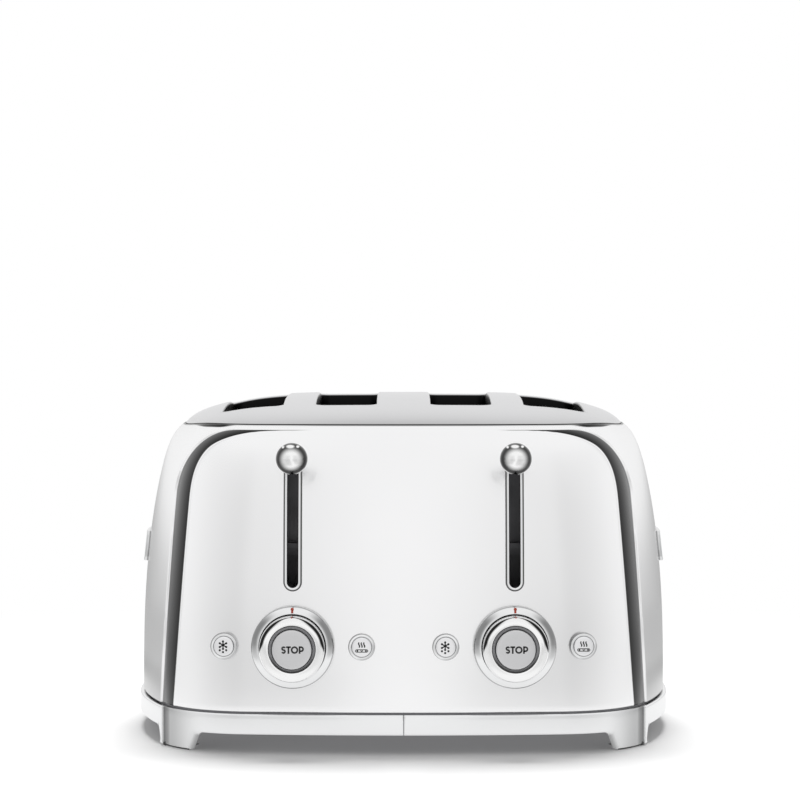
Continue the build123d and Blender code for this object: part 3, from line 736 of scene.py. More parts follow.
def shell_rows():
    """Heights and extra offsets of the outer rows, then of the inner rows down to the flange."""
    outer = [(shell_bottom + rise, extra) for rise, extra in hem_rows]
    outer += [(z, 0.0) for z in sorted({z for zone in row_zones for z in evenly(*zone)})]
    inner = [(shell_top + rise, extra) for rise, extra in lip_rows]
    inner += [(z, -shell_wall) for z in evenly(*inner_zone)]
    inner += [(shell_bottom + shell_wall, -shell_wall - 0.2), (shell_bottom + shell_wall, -flange_width),
              (shell_bottom, -flange_width)]
    return outer, inner


def shell_shade(z, x, y, from_fold, from_step, narrow):
    """Painted shade of a row of the shell: a painted dark reflection in the band between fold and step,
    painted shade in the line under the dome, and a painted dark reflection on the foot of the wraps.
    """
    band = smooth(from_fold, 0.55 * narrow, 1.2 * narrow) * (1 - smooth(from_step, -0.5, 0.15))
    across = np.clip(from_fold / np.maximum(from_fold - from_step, 0.01), 0, 1)
    band = band * (1 - (0.15 + 0.33 * across) ** band_dark_power) * (z <= arch_top)
    least, most = seam_line_width
    wedge = least + most * (1 - smooth(x, *seam_line_fall_x)) * smooth(x, *seam_line_rise_x)
    strength = 0.35 + 0.65 * smooth(x, *seam_line_dark_x) + 0.25 * (1 - smooth(x, *seam_line_middle_x))
    line = smooth(z - (shell_top - wedge), -0.15, 0.15) * strength
    foot = wrap_foot_dark * smooth(from_step, 0.2, 1.2)
    foot = foot * (1 - smooth(z, *wrap_foot_z)) * smooth(-y, *wrap_foot_y)
    return np.maximum(np.maximum(band, line), foot)


def shell_quarter():
    """Rows of (x, y, z, shade) for a quarter of the shell, from the hem up outside and down inside."""
    outer, inner = shell_rows()
    heights = np.array([z for z, extra in outer + inner])
    laid = [quarter_stations(min(z, arch_top)) for z in heights]
    hem, top = len(hem_rows), len(outer)
    fold_slope = np.gradient([row[2] for row in laid[hem:top]], heights[hem:top])
    step_slope = np.gradient([row[3] for row in laid[hem:top]], heights[hem:top])
    rows = []
    for index, (z, extra) in enumerate(outer + inner):
        angle, station, fold, step = laid[index]
        outside = index < top
        from_fold, from_step = station - fold, station - step
        if hem <= index < top:
            from_fold = from_fold / math.hypot(1, fold_slope[index - hem])
            from_step = from_step / math.hypot(1, step_slope[index - hem])
        from_fold = from_fold + fold_shift * float(smooth(z, *fold_shift_z))
        if z > arch_top:
            from_fold = np.maximum(from_fold, z - arch_top)
            from_step = np.maximum(from_step, z - arch_top)
        share = (z - shell_bottom) / (seam_height - shell_bottom)
        x_base = plan_point(angle, -float(inset_at(z)))[0]
        fade = smooth(x_base, *fold_tip_x) if z > fold_narrows_from else 1.0
        narrow = 1.0 - fold_narrows_by * float(smooth(z, fold_narrows_from, arch_top))
        rim = rim_step * (1 - min(share, 1) ** rim_fade_power) * smooth(from_step, -0.1, 0.9) * fade
        fold_line = fold_height * narrow * np.exp(-((from_fold / (fold_half_width * narrow)) ** 2)) * fade
        x, y = plan_point(angle, -inset_at(z) + extra + outside * (rim + fold_line))
        # Painted shade: the lowest hem rows and the rows inside the shell are painted fully dark.
        shade = np.ones_like(x)
        if dark_hem_rows <= index < top:
            shade = shell_shade(z, x_base, y, from_fold, from_step, narrow)
        dip = dip_at(x, y) * np.clip(share, 0, 1) ** seam_dip_power
        rows.append(np.stack([x, y, z - dip, shade], axis=1))
    return np.array(rows)


def cut_openings(piece):
    """Cuts the lever slots, dial, button, tray and cord openings through the shell."""
    z0, z1 = tray_opening_z
    cutters = []
    for side, sign in sides:
        low, high, half = trim_low + trim_seat, trim_high - trim_seat, trim_half - trim_seat
        holes = [stadium_outline(sign * lever_x, low, high, half)]
        holes.append(circle_outline(sign * dial_x, dial_z, dial_opening, 72))
        for shift in (-button_spread, button_spread):
            holes.append(circle_outline(sign * dial_x + shift, dial_z, button_opening, 48))
        cutters += [upright_prism(hole, *front_cut) for hole in holes]
        x0, x1 = (sign * x for x in tray_opening_x)
        cutters.append(upright_prism([(x0, z0), (x1, z0), (x1, z1), (x0, z1)], *rear_cut))
    cutters.append(upright_prism(circle_outline(0, gland_height, gland_opening, 48), *rear_cut))
    cutter = add_object("cutter", clean_mesh("cutter", joined(cutters)))
    cut = piece.modifiers.new("cut", "BOOLEAN")
    cut.operation = "DIFFERENCE"
    cut.solver = "EXACT"
    cut.object = cutter
    bpy.context.view_layer.update()
    graph = bpy.context.evaluated_depsgraph_get()
    result = bpy.data.meshes.new_from_object(piece.evaluated_get(graph))
    piece.modifiers.clear()
    piece.data = result
    bpy.data.objects.remove(cutter)
    result.set_sharp_from_angle(angle=math.radians(40))


def make_body():
    """The shell: arched front and rear panels and the wraps round the sides, as one skin."""
    loop = mirrored_loop(shell_quarter())
    form = loop[..., :3].reshape(-1, 3), grid_faces(*loop.shape[:2], wrap_columns=True, wrap_rows=True)
    replaced = ("front_panel", "rear_panel", "side_wrap_left", "side_wrap_right")
    body = piece_from("body_skin", form, "mirror_steel", "root", replaced)
    set_shade(body, loop[..., 3].ravel())
    cut_openings(body)


# Domed top panel


def dome_height(x, y):
    """Height of the dome over the plan, found by halving on the concentric outlines."""
    reach = body_half_width + dome_edge_offset + dome_edge_margin
    half_length = body_half_depth + dome_edge_offset + dome_edge_margin
    fall = np.where(np.asarray(y) < 0, dome_front_power, dome_rear_power)
    low = np.full(np.shape(x), dome_least_share)
    high = np.full(np.shape(x), dome_most_share)
    for halving in range(32):
        share = (low + high) / 2
        inset = reach * (1 - share)
        shorter = half_length * share ** (dome_power / fall) / (half_length - inset)
        outside = signed_plan_distance(x, y / shorter, dome_edge_offset - inset) > 0
        low = np.where(outside, share, low)
        high = np.where(outside, high, share)
    share = np.where(low <= dome_least_share + 1e-4, dome_least_share, low)
    return seam_height + dome_rise * (1 - share ** dome_power) - dip_at(x, y) * share ** dome_dip_power


def full_outline(offset, count=90):
    """The whole plan as a closed loop of points (x, y), from equal steps along its quarter."""
    angles, lengths = plan_length(offset)
    x, y = plan_point(np.interp(np.linspace(0, lengths[-1], count), lengths, angles), offset)
    return mirrored_loop(np.stack([x, y], axis=1)[None])[0]


def slot_outline(x, margin):
    """A bread slot with round corners, grown by margin."""
    half_x, half_y = slot_width / 2 + margin, slot_length / 2 + margin
    corners = box_corners(half_x, half_y, slot_corner + margin, 8)
    return filled([point for corner in corners for point in corner], slot_point_gap) + (x, slot_centre_y)


def outside_slot(x, y, middle_x):
    """How far places lie outside the straight sides of a slot, negative inside."""
    return np.maximum(np.abs(x - middle_x) - slot_width / 2, np.abs(y - slot_centre_y) - slot_length / 2)


def dome_sheet():
    """The triangulated sheet of the dome, between its edge and the four slots."""
    loops = [full_outline(dome_edge_offset)] + [slot_outline(x, slot_lip) for x in slot_x]
    flat, edges = [], []
    for loop in loops:
        here = range(len(flat), len(flat) + len(loop))
        edges += list(zip(here, list(here[1:]) + [here[0]]))
        flat += [tuple(point) for point in loop]
    grid_x, grid_y = np.meshgrid(*(np.arange(-half, half + 0.1, dome_pitch) for half in dome_grid_half))
    grid_x[1::2] += dome_pitch / 2
    grid_x, grid_y = grid_x.ravel(), grid_y.ravel()
    keep = signed_plan_distance(grid_x, grid_y, dome_edge_offset) < -dome_edge_gap
    for x in slot_x:
        keep &= outside_slot(grid_x, grid_y, x) > slot_lip + slot_edge_gap
    flat += list(zip(grid_x[keep], grid_y[keep]))
    out = delaunay_2d_cdt([Vector(point) for point in flat], edges, [], 0, 1e-5)
    verts, triangles = np.array([tuple(v) for v in out[0]]), out[2]
    centres = np.array([verts[list(triangle)].mean(axis=0) for triangle in triangles])
    inside = signed_plan_distance(centres[:, 0], centres[:, 1], dome_edge_offset) < -1e-4
    for x in slot_x:
        off_x = np.abs(centres[:, 0] - x) - slot_width / 2 - slot_lip
        off_y = np.abs(centres[:, 1] - slot_centre_y) - slot_length / 2 - slot_lip
        radius = slot_corner + slot_lip
        corner = np.hypot(np.maximum(off_x + radius, 0), np.maximum(off_y + radius, 0)) - radius
        inside &= np.maximum(np.maximum(off_x, off_y), corner) > -0.02
    faces = [tuple(triangle) for triangle, ok in zip(triangles, inside) if ok]
    return np.column_stack([verts, dome_height(verts[:, 0], verts[:, 1])]), faces


def dome_edge():
    """The rolled outer edge of the dome and its skirt inside the shell."""
    edge = full_outline(dome_edge_offset)
    top = dome_height(edge[:, 0], edge[:, 1])
    return stacked([np.column_stack([full_outline(dome_edge_offset - inset), top - drop])
                    for inset, drop in dome_edge_rows])


def slot_collar(x):
    """The rolled lip of a slot, its collar going down and the collar's back."""
    outer, wall = slot_outline(x, slot_lip), slot_outline(x, 0)
    lip_top = dome_height(outer[:, 0], outer[:, 1])
    loops = [np.column_stack([outer, lip_top])]
    for step in range(1, 7):
        angle = math.pi / 2 * step / 6
        loop = outer + (wall - outer) * math.sin(angle)
        loops.append(np.column_stack([loop, lip_top - slot_lip * (1 - math.cos(angle))]))
    behind = wall + (outer - wall) * collar_back_share
    low = np.full(len(wall), collar_bottom)
    for loop, height in ((wall, low), (behind, low), (behind, lip_top - collar_back_drop)):
        loops.append(np.column_stack([loop, height]))
    return stacked(loops)


def dome_shade(places):
    """Painted shade on the dome: dark down in the slots and under its edge, and a painted darker reflection a
    little towards the front seam.
    """
    x, y = places[:, 0], places[:, 1]
    surface = dome_height(x, y)
    sunk = surface - places[:, 2]
    hollow = np.zeros(len(places))
    for middle_x in slot_x:
        hollow = np.where(outside_slot(x, y, middle_x) < 0.75 * slot_lip, smooth(sunk, 0.55, 1.2), hollow)
    under = (signed_plan_distance(x, y, dome_edge_offset) > -2.5) * smooth(sunk, 0.1, 0.3)
    fall = np.exp(-np.maximum(surface - seam_height, 0) / dome_fall_height)
    fall = dome_fall_dark * fall * smooth(-y, *dome_fall_y)
    across = np.abs(x)
    fall = fall * (1.4 - 0.4 * smooth(across, *dome_fall_x) - 0.7 * smooth(across, *dome_fall_end_x))
    return np.maximum(np.maximum(0.985 * hollow, under), fall)


def make_top():
    """The domed panel with rolled edges round its outline and its four slots."""
    form = joined([dome_sheet(), dome_edge()] + [slot_collar(x) for x in slot_x])
    dome = piece_from("top_dome", form, "satin_steel", "root", ("top_panel",), 50, True)
    set_shade(dome, dome_shade(places_of(dome)))


# Base ring with feet


def leg_height(distance, half):
    """Height of the lower edge at a distance from the middle, for an arch between two feet."""
    rise = ring_bottom + 1
    turn = math.atan2(rise, foot_flare)
    start = half - arch_fillet * math.tan(turn / 2)
    bend = arch_fillet * math.sin(turn)
    along = np.clip(distance - start, 0, bend)
    curve = ring_bottom - arch_fillet + np.sqrt(arch_fillet ** 2 - along ** 2)
    straight = ring_bottom - (distance - half) * rise / foot_flare
    return np.maximum(np.where(distance > start + bend, straight, curve), foot_bottom)


def ring_stations(offset):
    """Stations along the quarter ring, dense at the legs and the crease."""
    angles, lengths = plan_length(offset)
    near, far = (front_arch_half + gap for gap in front_leg_span)
    at = [angle_at_x(x, offset) for x in (near, far, ring_crease_x)]
    dense = np.linspace(0, math.pi / 2, 4000)
    dense_y = plan_point(dense, offset)[1]
    for gap in side_leg_span:
        away = np.abs(-dense_y - side_arch_half - gap)
        at.append(dense[np.argmin(np.where(dense > 0.9, away, np.inf))])
    leg_start, leg_end, crease, side_start, side_end = (float(np.interp(a, angles, lengths)) for a in at)
    stations = list(split_stations) + [lengths[-1]]
    stations += list(np.arange(ring_first_station, lengths[-1], ring_station_pitch))
    stations += evenly(leg_start - 1, leg_end + 1, leg_points)
    stations += evenly(side_start - 1, side_end + 1, leg_points)
    stations = np.unique(np.round(stations + [crease + gap for gap in near_crease], 3))
    return np.interp(stations, lengths, angles), stations, crease


def ring_shade(station, crease):
    """Painted dark reflection: the ring darkens towards its crease on the front side."""
    gap = crease - station
    level = 0.12 + 0.16 * np.clip(gap / 8, 0, 1)
    level = level + 0.26 * smooth(gap, 7.5, 9.5) + 0.46 * smooth(gap, 9, 42)
    return (1 - level) * smooth(gap, 0.1, 0.4)


def ring_quarter():
    """Rows of (x, y, z, shade) round the ring's section, for each station of the quarter."""
    angle, station, crease = ring_stations(ring_overhang)
    x0, y0 = plan_point(angle, ring_overhang)
    low = np.maximum(leg_height(np.abs(x0), front_arch_half), leg_height(np.abs(y0), side_arch_half))
    footness = np.clip((ring_bottom - low) / (ring_bottom - foot_bottom), 0, 1)
    steep = smooth(np.abs(np.gradient(low, station)), 0.2, 1.5)
    side = rim_step * smooth(station - crease, -0.25, 0.25)
    turn_in = np.clip(1 - ((split_round_end - station) / split_round) ** 2, 0, 1)
    end = split_round_depth * (1 - np.sqrt(turn_in)) * (station < split_round_end)
    shade = ring_shade(station, crease)
    rows = []

    def add_row(offset, z, dark=0.0):
        """Adds a row at a height, moved out from the plan by offset, at least as dark as asked."""
        x, y = plan_point(angle, ring_overhang + side + offset - end)
        x = np.maximum(x, split_half_gap)
        rows.append(np.stack([x, y, z * np.ones_like(x), np.maximum(shade, dark)], axis=1))

    # Painted shade: the bottom and inside rows are painted dark, and the face darkens near the steep edges of
    # the legs.
    from_arch = np.minimum(np.abs(x0) - front_arch_half, np.abs(y0) - side_arch_half) - foot_flare
    depth = foot_edge_depth + (foot_depth - foot_edge_depth) * smooth(from_arch, 0, foot_depth_run)
    add_row(-ring_wall - side - depth * footness, low, 0.8)
    for share in ring_face_shares:
        z = low + share * (ring_top - ring_edge - low)
        gaps = np.hypot(station[:, None] - station[None], z[:, None] - low[None])
        near_steep = steep[gaps.argmin(axis=1)]
        radius = leg_edge_small + (leg_edge_large - leg_edge_small) * near_steep
        inside = 1 - np.clip(gaps.min(axis=1) / radius, 0, 1)
        add_row(-radius * (1 - np.sqrt(1 - inside ** 2)), z, 0.6 * inside ** 2 * near_steep)
    for degrees in range(15, 91, 15):
        turn = math.radians(degrees)
        add_row(-ring_edge * (1 - math.cos(turn)), ring_top - ring_edge * (1 - math.sin(turn)))
    add_row(-ring_wall - side, ring_top)
    at_foot, more_at_arch = ring_inner_rise
    add_row(-ring_wall - side, low + at_foot + more_at_arch * (1 - footness), 0.8)
    return np.array(rows)


def make_rings():
    """Two halves of the base ring, from the split in front round one side to the split at the rear."""
    quarter = ring_quarter()
    half = np.concatenate([quarter, mirrored(quarter[:, -2::-1], 1, -1)], axis=1)
    rows, columns = half.shape[:2]
    faces = grid_faces(rows, columns, wrap_rows=True)
    faces += [tuple(row * columns + end for row in range(rows)) for end in (0, columns - 1)]
    for side, sign in sides:
        form = mirrored(half, sign, 1)[..., :3].reshape(-1, 3), faces
        ring = piece_from("ring_" + side, form, "cast_chrome", "root", ("base_ring_" + side,), 42)
        set_shade(ring, half[..., 3].ravel())


# Side badges


def badge_outline(inset):
    """Closed outline in Y and Z with round corners, drawn in by inset, with points along its long sides."""
    half_z = (badge_top - badge_bottom) / 2 - inset
    radius = max(0.0, badge_corner - inset)
    run = badge_half_length - inset - radius
    right_top, left_top, left_low, right_low = box_corners(badge_half_length - inset, half_z, radius, 6)
    top = [(run - 2 * run * i / 24, half_z) for i in range(1, 24)]
    outline = right_top + top + left_top + left_low + [(-y, -z) for y, z in top] + right_low
    return np.array(outline) + (0, (badge_top + badge_bottom) / 2)


def make_badges():
    """Plain plates on the sides: a raised border round a darker field, bowed like the side."""
    for side, sign in sides:
        rows, shades = [], []
        for inset, proud, dark in badge_rows:
            y, z = badge_outline(inset).T
            radius = side_bow_radius - inset_at(z) + rim_step + proud
            rows.append(np.column_stack([sign * (np.sqrt(radius ** 2 - y ** 2) - side_centre), y, z]))
            shades += [dark] * len(y)
        badge = piece_from("badge_" + side, stacked(rows), "trim_chrome", "root", ("side_badge_" + side,), 40)
        set_shade(badge, shades)


# Levers


def trim_shade(across, proud):
    """Painted shade: a trim is painted dark at its outer edge, stays bright on its inner half and is painted
    dark down in the slot.
    """
    if proud < 0:
        return 0.9
    return 0.9 * (1 - float(smooth(across, 0.3, 0.5)))


def make_lever_trims():
    """A rounded bright bead round each lever slot, with a lining."""
    section = [(0.0, 0.0)]
    for step in range(13):
        angle = math.pi * step / 12
        proud = trim_edge_proud + (trim_proud - trim_edge_proud) * math.sin(angle) ** 0.8
        section.append(((1 - math.cos(angle)) / 2, proud))
    section += [(1.0, -trim_lining), (0.62, -trim_lining), (0.55, -0.6), (0.0, -0.6)]
    for side, sign in sides:
        rows, shades = [], []
        for across, proud in section:
            inset = (trim_half - trim_opening_half) * across
            loop = stadium_outline(sign * lever_x, trim_low + inset, trim_high - inset, trim_half - inset, 32)
            x, z = filled(loop, trim_point_gap).T
            rows.append(np.column_stack([x, front_y(x, z, proud), z]))
            shades += [trim_shade(across, proud)] * len(x)
        trim = piece_from("slot_trim_" + side, stacked(rows, closed=True), "trim_chrome", "root",
                          ("lever_trim_" + side,), 55)
        set_shade(trim, shades)


def ball_shade(across, up, behind):
    """Painted reflection: white core and dark flanks, with three small painted highlights near the top and a
    painted bright lower rim.
    """
    away = np.hypot(across, up)
    shade = 0.95 * smooth(away, 0.4, 0.84) - 0.12 * smooth(away, 0.93, 1.0)
    for highlight_x, highlight_up, half_x, half_up in ball_highlights:
        reach = np.hypot((across - highlight_x) / half_x, (up - highlight_up) / half_up)
        shade = shade * smooth(reach, 0.7, 1.3)
    low_rim = smooth(away, 0.93, 0.97) * smooth(-up, 0.45, 0.75)
    shade = shade * (1 - 0.85 * low_rim)
    return np.where(behind, 0.0, shade)


def make_lever_balls():
    """Ball knobs with a short neck; the front stays bright and the flanks are painted darker, as a painted
    reflection.
    """
    for side, sign in sides:
        profile = []
        for step in range(61):
            angle = math.radians(knob_turn * step / 60)
            profile.append((max(0.0, knob_radius * math.sin(angle)), knob_y - knob_radius * math.cos(angle)))
        rear = knob_y + knob_radius
        profile += [(neck_radius, rear - 0.4), (neck_radius, rear + 0.5), (0.0, rear + 0.5)]
        ball = piece_from("ball_" + side, turned(sign * lever_x, lever_height, profile), "knob_chrome",
                          "lever_" + side, ("lever_knob_" + side,), 50, True)
        places = places_of(ball)
        across = (places[:, 0] - sign * lever_x) / knob_radius
        up = (places[:, 2] - lever_height) / knob_radius
        set_shade(ball, ball_shade(across, up, places[:, 1] > knob_y + 1.2))


# Dials and buttons


def dish_depth(radius):
    """How far the dial's dish lies behind its front edge at a radius."""
    share = min(1.0, (dish_edge - radius) / (dish_edge - dish_foot))
    return dish_lip + dish_fall * math.sin(math.pi / 2 * share)


def dish_shade(places, x):
    """Painted dark reflections: crescents in the upper half of the dish, thin at twelve o'clock and at the
    ends.
    """
    radius, _, turn = polar(places, x)
    thick = (0.55 + 1.55 * smooth(turn, *crescent_rise)) * (1 - smooth(turn, *crescent_end))
    inner_edge = dial_radius - 0.05 - thick
    band = smooth(radius, inner_edge - 0.2, inner_edge + 0.2)
    band = np.maximum(band, 0.45 * smooth(radius, inner_edge - 1.5, inner_edge) * smooth(thick, 0.8, 2.2))
    return 0.98 * band * (places[:, 1] < dial_front + 1.1) * (thick > 0.05)


def rim_shade(places, x):
    """Painted reflection on the fixed rim: grey at ten and two o'clock, with a thin painted dark outline."""
    radius, _, turn = polar(places, x)
    sector = smooth(turn, *rim_grey_rise) * (1 - smooth(turn, *rim_grey_end))
    return np.maximum(0.66 * sector * smooth(radius, 20.2, 21.6), 0.62 * smooth(radius, 23.5, 23.9))


def housing_shade(places, x):
    """Painted shade: the ring round a STOP button has dark edges and is darkest at its foot."""
    radius, up, _ = polar(places, x)
    edges = 0.8 * smooth(np.abs(radius - 12.82), 0.55, 0.95)
    foot = 0.95 * smooth(radius, 12.2, 13.1) * smooth(-up / radius, 0.1, 0.75)
    return np.maximum(edges, foot)


def cap_shade(places, x):
    """A STOP button is an even light grey."""
    return np.full(len(places), 0.25)


def bezel_section():
    """The fixed rim of a dial: a wall from behind the panel and a cone that falls outwards."""
    panel = float(front_y(dial_x - 24, dial_z - 24))
    section = [(bezel_inner, panel + 6, 0), (22.6, panel + 6, 0), (bezel_outer, panel + 3.2, 0),
               (bezel_outer, bezel_front + 1.9, 0.5), (bezel_outer - 0.6, bezel_front + 1.1, 0.3)]
    for radius in (22.8, 22.0, 21.2):
        section.append((radius, bezel_front + bezel_slope * (radius - bezel_crest), 0))
    return section + [(bezel_crest, bezel_front, 0.3), (bezel_inner + 0.4, bezel_front + 0.1, 0.2),
                      (bezel_inner, bezel_front + 0.9, 0)]


def dial_section():
    """A dial ring: a hub behind the panel, a side wall and a dish in front."""
    section = [(dial_bore, dial_hub_tip, 0), (dial_hub_radius, dial_hub_tip, 0),
               (dial_hub_radius, dial_back, 0), (dial_radius, dial_back, 0),
               (dial_radius, dial_front + 2.0, 0), (dial_radius, dial_front + 1.3, 0.8),
               (dish_edge + 0.4, dial_front + 0.1, 0.4)]
    section += [(radius, dial_front + dish_depth(radius), 0) for radius in evenly(dish_edge, dish_foot, 22)]
    return section + [(dial_bore, dial_front + 2.2, 0)]


def stop_ring_section():
    """The dark ring round a STOP button, rounded in front."""
    front, middle = stop_ring_front, 12.8
    return [(stop_ring_inner, stop_ring_back, 0), (stop_ring_outer, stop_ring_back, 0),
            (stop_ring_outer, front + 0.5, 0.4), (middle + 0.5, front, 0.4), (middle, front, 0),
            (middle - 0.5, front, 0.4), (stop_ring_inner, front + 0.5, 0)]


def stop_profile():
    """A STOP button: a slightly domed cap with a round edge, and its stem."""
    edge = ((0, 0.05), (8, 0), (10.6, 0), (10.9, 0.04), (11.2, 0.2), (11.45, 0.5), (11.6, 0.9),
            (stop_radius, 1.4), (stop_radius, 9), (stem_radius, 9))
    return [(radius, stop_front + back) for radius, back in edge] + [(stem_radius, stop_tip), (0, stop_tip)]


def make_dials():
    """Fixed bezel, dished dial ring, dark housing and STOP button on each side."""
    for side, sign in sides:
        x = sign * dial_x
        bezel = turned_ring(x, dial_z, bezel_section())
        dial = turned_ring(x, dial_z, dial_section(), 6, 192)
        housing = turned_ring(x, dial_z, stop_ring_section())
        cap = turned(x, dial_z, stop_profile())
        for name, form, material, body, node, sharp, shade in (
                ("dial_rim_", bezel, "trim_chrome", "root", "dial_bezel_", 32, rim_shade),
                ("dial_", dial, "knob_chrome", "dial_" + side, "dial_knob_", 40, dish_shade),
                ("stop_ring_", housing, "dark_gloss", "root", "stop_housing_", 32, housing_shade),
                ("stop_cap_", cap, "button_face", "stop_" + side, "stop_button_", 40, cap_shade)):
            piece = piece_from(name + side, form, material, body, (node + side,), sharp, True)
            set_shade(piece, shade(places_of(piece), x))


def stroke(line, width, near, far):
    """One flat stroke along a line of (x, z), a dot for a single point, between two Y."""
    closed = len(line) > 2 and math.dist(line[0], line[-1]) < 1e-6
    path = [Vector(p) for p in (line[:-1] if closed else line)]
    count = len(path)
    if count == 1:
        return upright_prism(circle_outline(*path[0], width / 2, 20), near, far)
    left, right = [], []
    for i, here in enumerate(path):
        before = path[i - 1] if (i > 0 or closed) else here
        after = path[(i + 1) % count] if (i < count - 1 or closed) else here
        along = (after - before).normalized()
        edge = Vector((-along.y, along.x)) * (width / 2)
        left.append(here + edge)
        right.append(here - edge)
    points = [(x, y, z) for y in (near, far) for x, z in left + right]
    faces = []
    for i in range(count if closed else count - 1):
        j = (i + 1) % count
        front = (i, j, count + j, count + i)
        back = tuple(2 * count + corner for corner in front)
        faces += [front, back[::-1], (i, back[0], back[1], j), (count + i, count + j, back[2], back[3])]
    if not closed:
        faces += [(end, end + count, end + 3 * count, end + 2 * count) for end in (0, count - 1)]
    return points, faces


def strokes(lines, width, plane_y, depth=0.06):
    """Flat strokes of one width along lines in X and Z, standing proud of the plane y by a depth."""
    return joined([stroke(line, width, plane_y - depth, plane_y + depth) for line in lines])


def make_stop_words():
    """The plain word STOP on each button, in strokes of one width."""
    high, width = 4.35, 1.0
    top, foot = (high - width) / 2, -high / 2
    bend = top / 2
    bowl = 0.27 * high
    stem, bowl_x = 4.35, 5.2
    letters = [
        arc_line(-5.0, bend, bend, 20, 270) + arc_line(-5.0, -bend, bend, 90, -160)[1:],
        [(-3.55, top), (-0.75, top)],
        [(-2.15, top), (-2.15, foot)],
        arc_line(1.4, 0, top, 0, 360, 40),
        [(stem, foot), (stem, high / 2)],
        [(stem, top), (bowl_x, top)] + arc_line(bowl_x, top - bowl, bowl, 88, -88) + [(stem, top - 2 * bowl)]]
    for side, sign in sides:
        x = sign * dial_x + 0.3
        placed = [[(x + a, dial_z + b) for a, b in letter] for letter in letters]
        piece_from("stop_word_" + side, strokes(placed, width, stop_front - print_gap), "print_black",
                   "stop_" + side, (), 30)


def frost_sign(x):
    """A snow star with dots at its arms and three drops under it, as groups of lines and their widths."""
    star_x, star_z = x - 0.4, dial_z + 0.75
    tips = circle_outline(star_x, star_z, 2.2, 6)
    drops = [(star_x + across, star_z + up) for across, up in ((-1.9, -3.0), (0.0, -4.1), (1.9, -3.0))]
    arms = [[(star_x, star_z), tip] for tip in tips]
    return (arms, 0.72), ([[dot] for dot in [(star_x, star_z)] + tips + drops], 1.3)


def warm_sign(x):
    """Three waves of warm air over a bun, as groups of lines and their widths."""
    waves = []
    for shift_x in (-1.5, 0.0, 1.5):
        waves.append([(x + shift_x + 0.3 * math.sin(2 * math.pi * i / 12), dial_z - 0.1 + 3.0 * i / 12)
                      for i in range(13)])
    bun_z = dial_z - 2.1
    bun = [arc_line(x + 2.9, bun_z, 0.7, -90, 90, 10) + arc_line(x - 2.9, bun_z, 0.7, 90, 270, 10)
           + [(x + 2.9, bun_z - 0.7)]]
    bun.append([(x - 0.7, bun_z + 0.25), (x, bun_z - 0.25), (x + 0.7, bun_z + 0.25)])
    ends = [[(x - 2.5, bun_z)], [(x + 2.5, bun_z)]]
    return (waves, 0.75), (bun, 0.5), (ends, 1.0)


def small_rim_shade(places, places_x):
    """Painted shade on small rims: a dark outline, darkest up and to the left, and a grey foot on the right.
    """
    shade = np.zeros(len(places))
    for x in places_x:
        radius, up, _ = polar(places, x)
        lit = (up - (places[:, 0] - x)) / np.maximum(radius, 1) / math.sqrt(2)
        outline = smooth(radius, 7.35, 7.75) * (0.5 + 0.35 * lit)
        inner = 0.3 * (1 - smooth(radius, 6.1, 6.4))
        grey = 0.35 * smooth(-lit, 0.2, 0.8) * smooth(radius, 6.5, 6.9)
        shade = np.where(radius < 9, np.maximum(np.maximum(outline, inner), grey), shade)
    return shade


def small_cap_profile(front):
    """A small button: a flat cap with a round edge, and its stem."""
    edge = ((0, 0), (4.6, 0), (5.3, 0.06), (5.6, 0.2), (5.8, 0.45), (button_radius, 0.8))
    return ([(radius, front + back) for radius, back in edge]
            + [(button_radius, button_back), (stem_radius, button_back), (stem_radius, button_tip),
               (0, button_tip)])


def small_rim_section(front, x):
    """The bright rim round a small button, let into the panel."""
    top = front + 0.6
    back = float(front_y(abs(x) + 8, dial_z)) + 4
    return [(button_rim_inner, back, 0), (button_opening, back, 0), (button_rim_outer, back - 3.2, 0),
            (button_rim_outer, top + 0.1, 0.55), (7.1, top, 0.2), (6.6, top + 0.05, 0.1),
            (button_rim_inner, top + 0.3, 0)]


def make_small_buttons():
    """Small caps in bright rims, with a frost sign or a warm-up sign printed on each."""
    rims, rims_x = [], []
    for side, sign in sides:
        for kind, shift, make_sign in (("defrost", -1, frost_sign), ("reheat", 1, warm_sign)):
            x = sign * dial_x + shift * button_spread
            front = outer_button_front if abs(x) > dial_x else inner_button_front
            body = kind + "_" + side
            piece_from(kind + "_cap_" + side, turned(x, dial_z, small_cap_profile(front), 64), "button_face",
                       body, (kind + "_button_" + side,), 40, True)
            printed = joined([strokes(lines, width, front - print_gap) for lines, width in make_sign(x)])
            piece_from(kind + "_sign_" + side, printed, "print_black", body, (), 30)
            rims.append(turned_ring(x, dial_z, small_rim_section(front, x), 5, 72))
            rims_x.append(x)
    rim = piece_from("button_rims", joined(rims), "trim_chrome", "root", ("button_bezels",), 32, True)
    set_shade(rim, small_rim_shade(places_of(rim), rims_x))


def make_dial_marks():
    """Red marks: one on the fixed rim, one on the dial ring."""
    for side, sign in sides:
        x = sign * dial_x
        dot = strokes([[(x, rim_mark_z)]], rim_mark_width, bezel_front + 0.7, 0.35)
        stem = strokes([[(x, z) for z in rim_stem_z]], rim_stem_width, bezel_front + 0.3, 0.4)
        piece_from("rim_mark_" + side, joined([dot, stem]), "print_red", "root", (), 30)
        mark = strokes([[(x, dial_mark_z)]], dial_mark_width, dial_front - 0.02, 0.25)
        piece_from("dial_mark_" + side, mark, "print_red", "dial_" + side, (), 30)


# Studio


def make_camera():
    """Camera at the photograph's place: level with the top, a long lens, tipped down a little."""
    data = bpy.data.cameras.new("camera")
    data.lens = camera_lens
    data.sensor_width = sensor_width
    camera = add_object("camera", data)
    camera.location = camera_place
    camera.rotation_euler = (math.radians(90 - camera_tip), 0, 0)
    bpy.context.scene.camera = camera


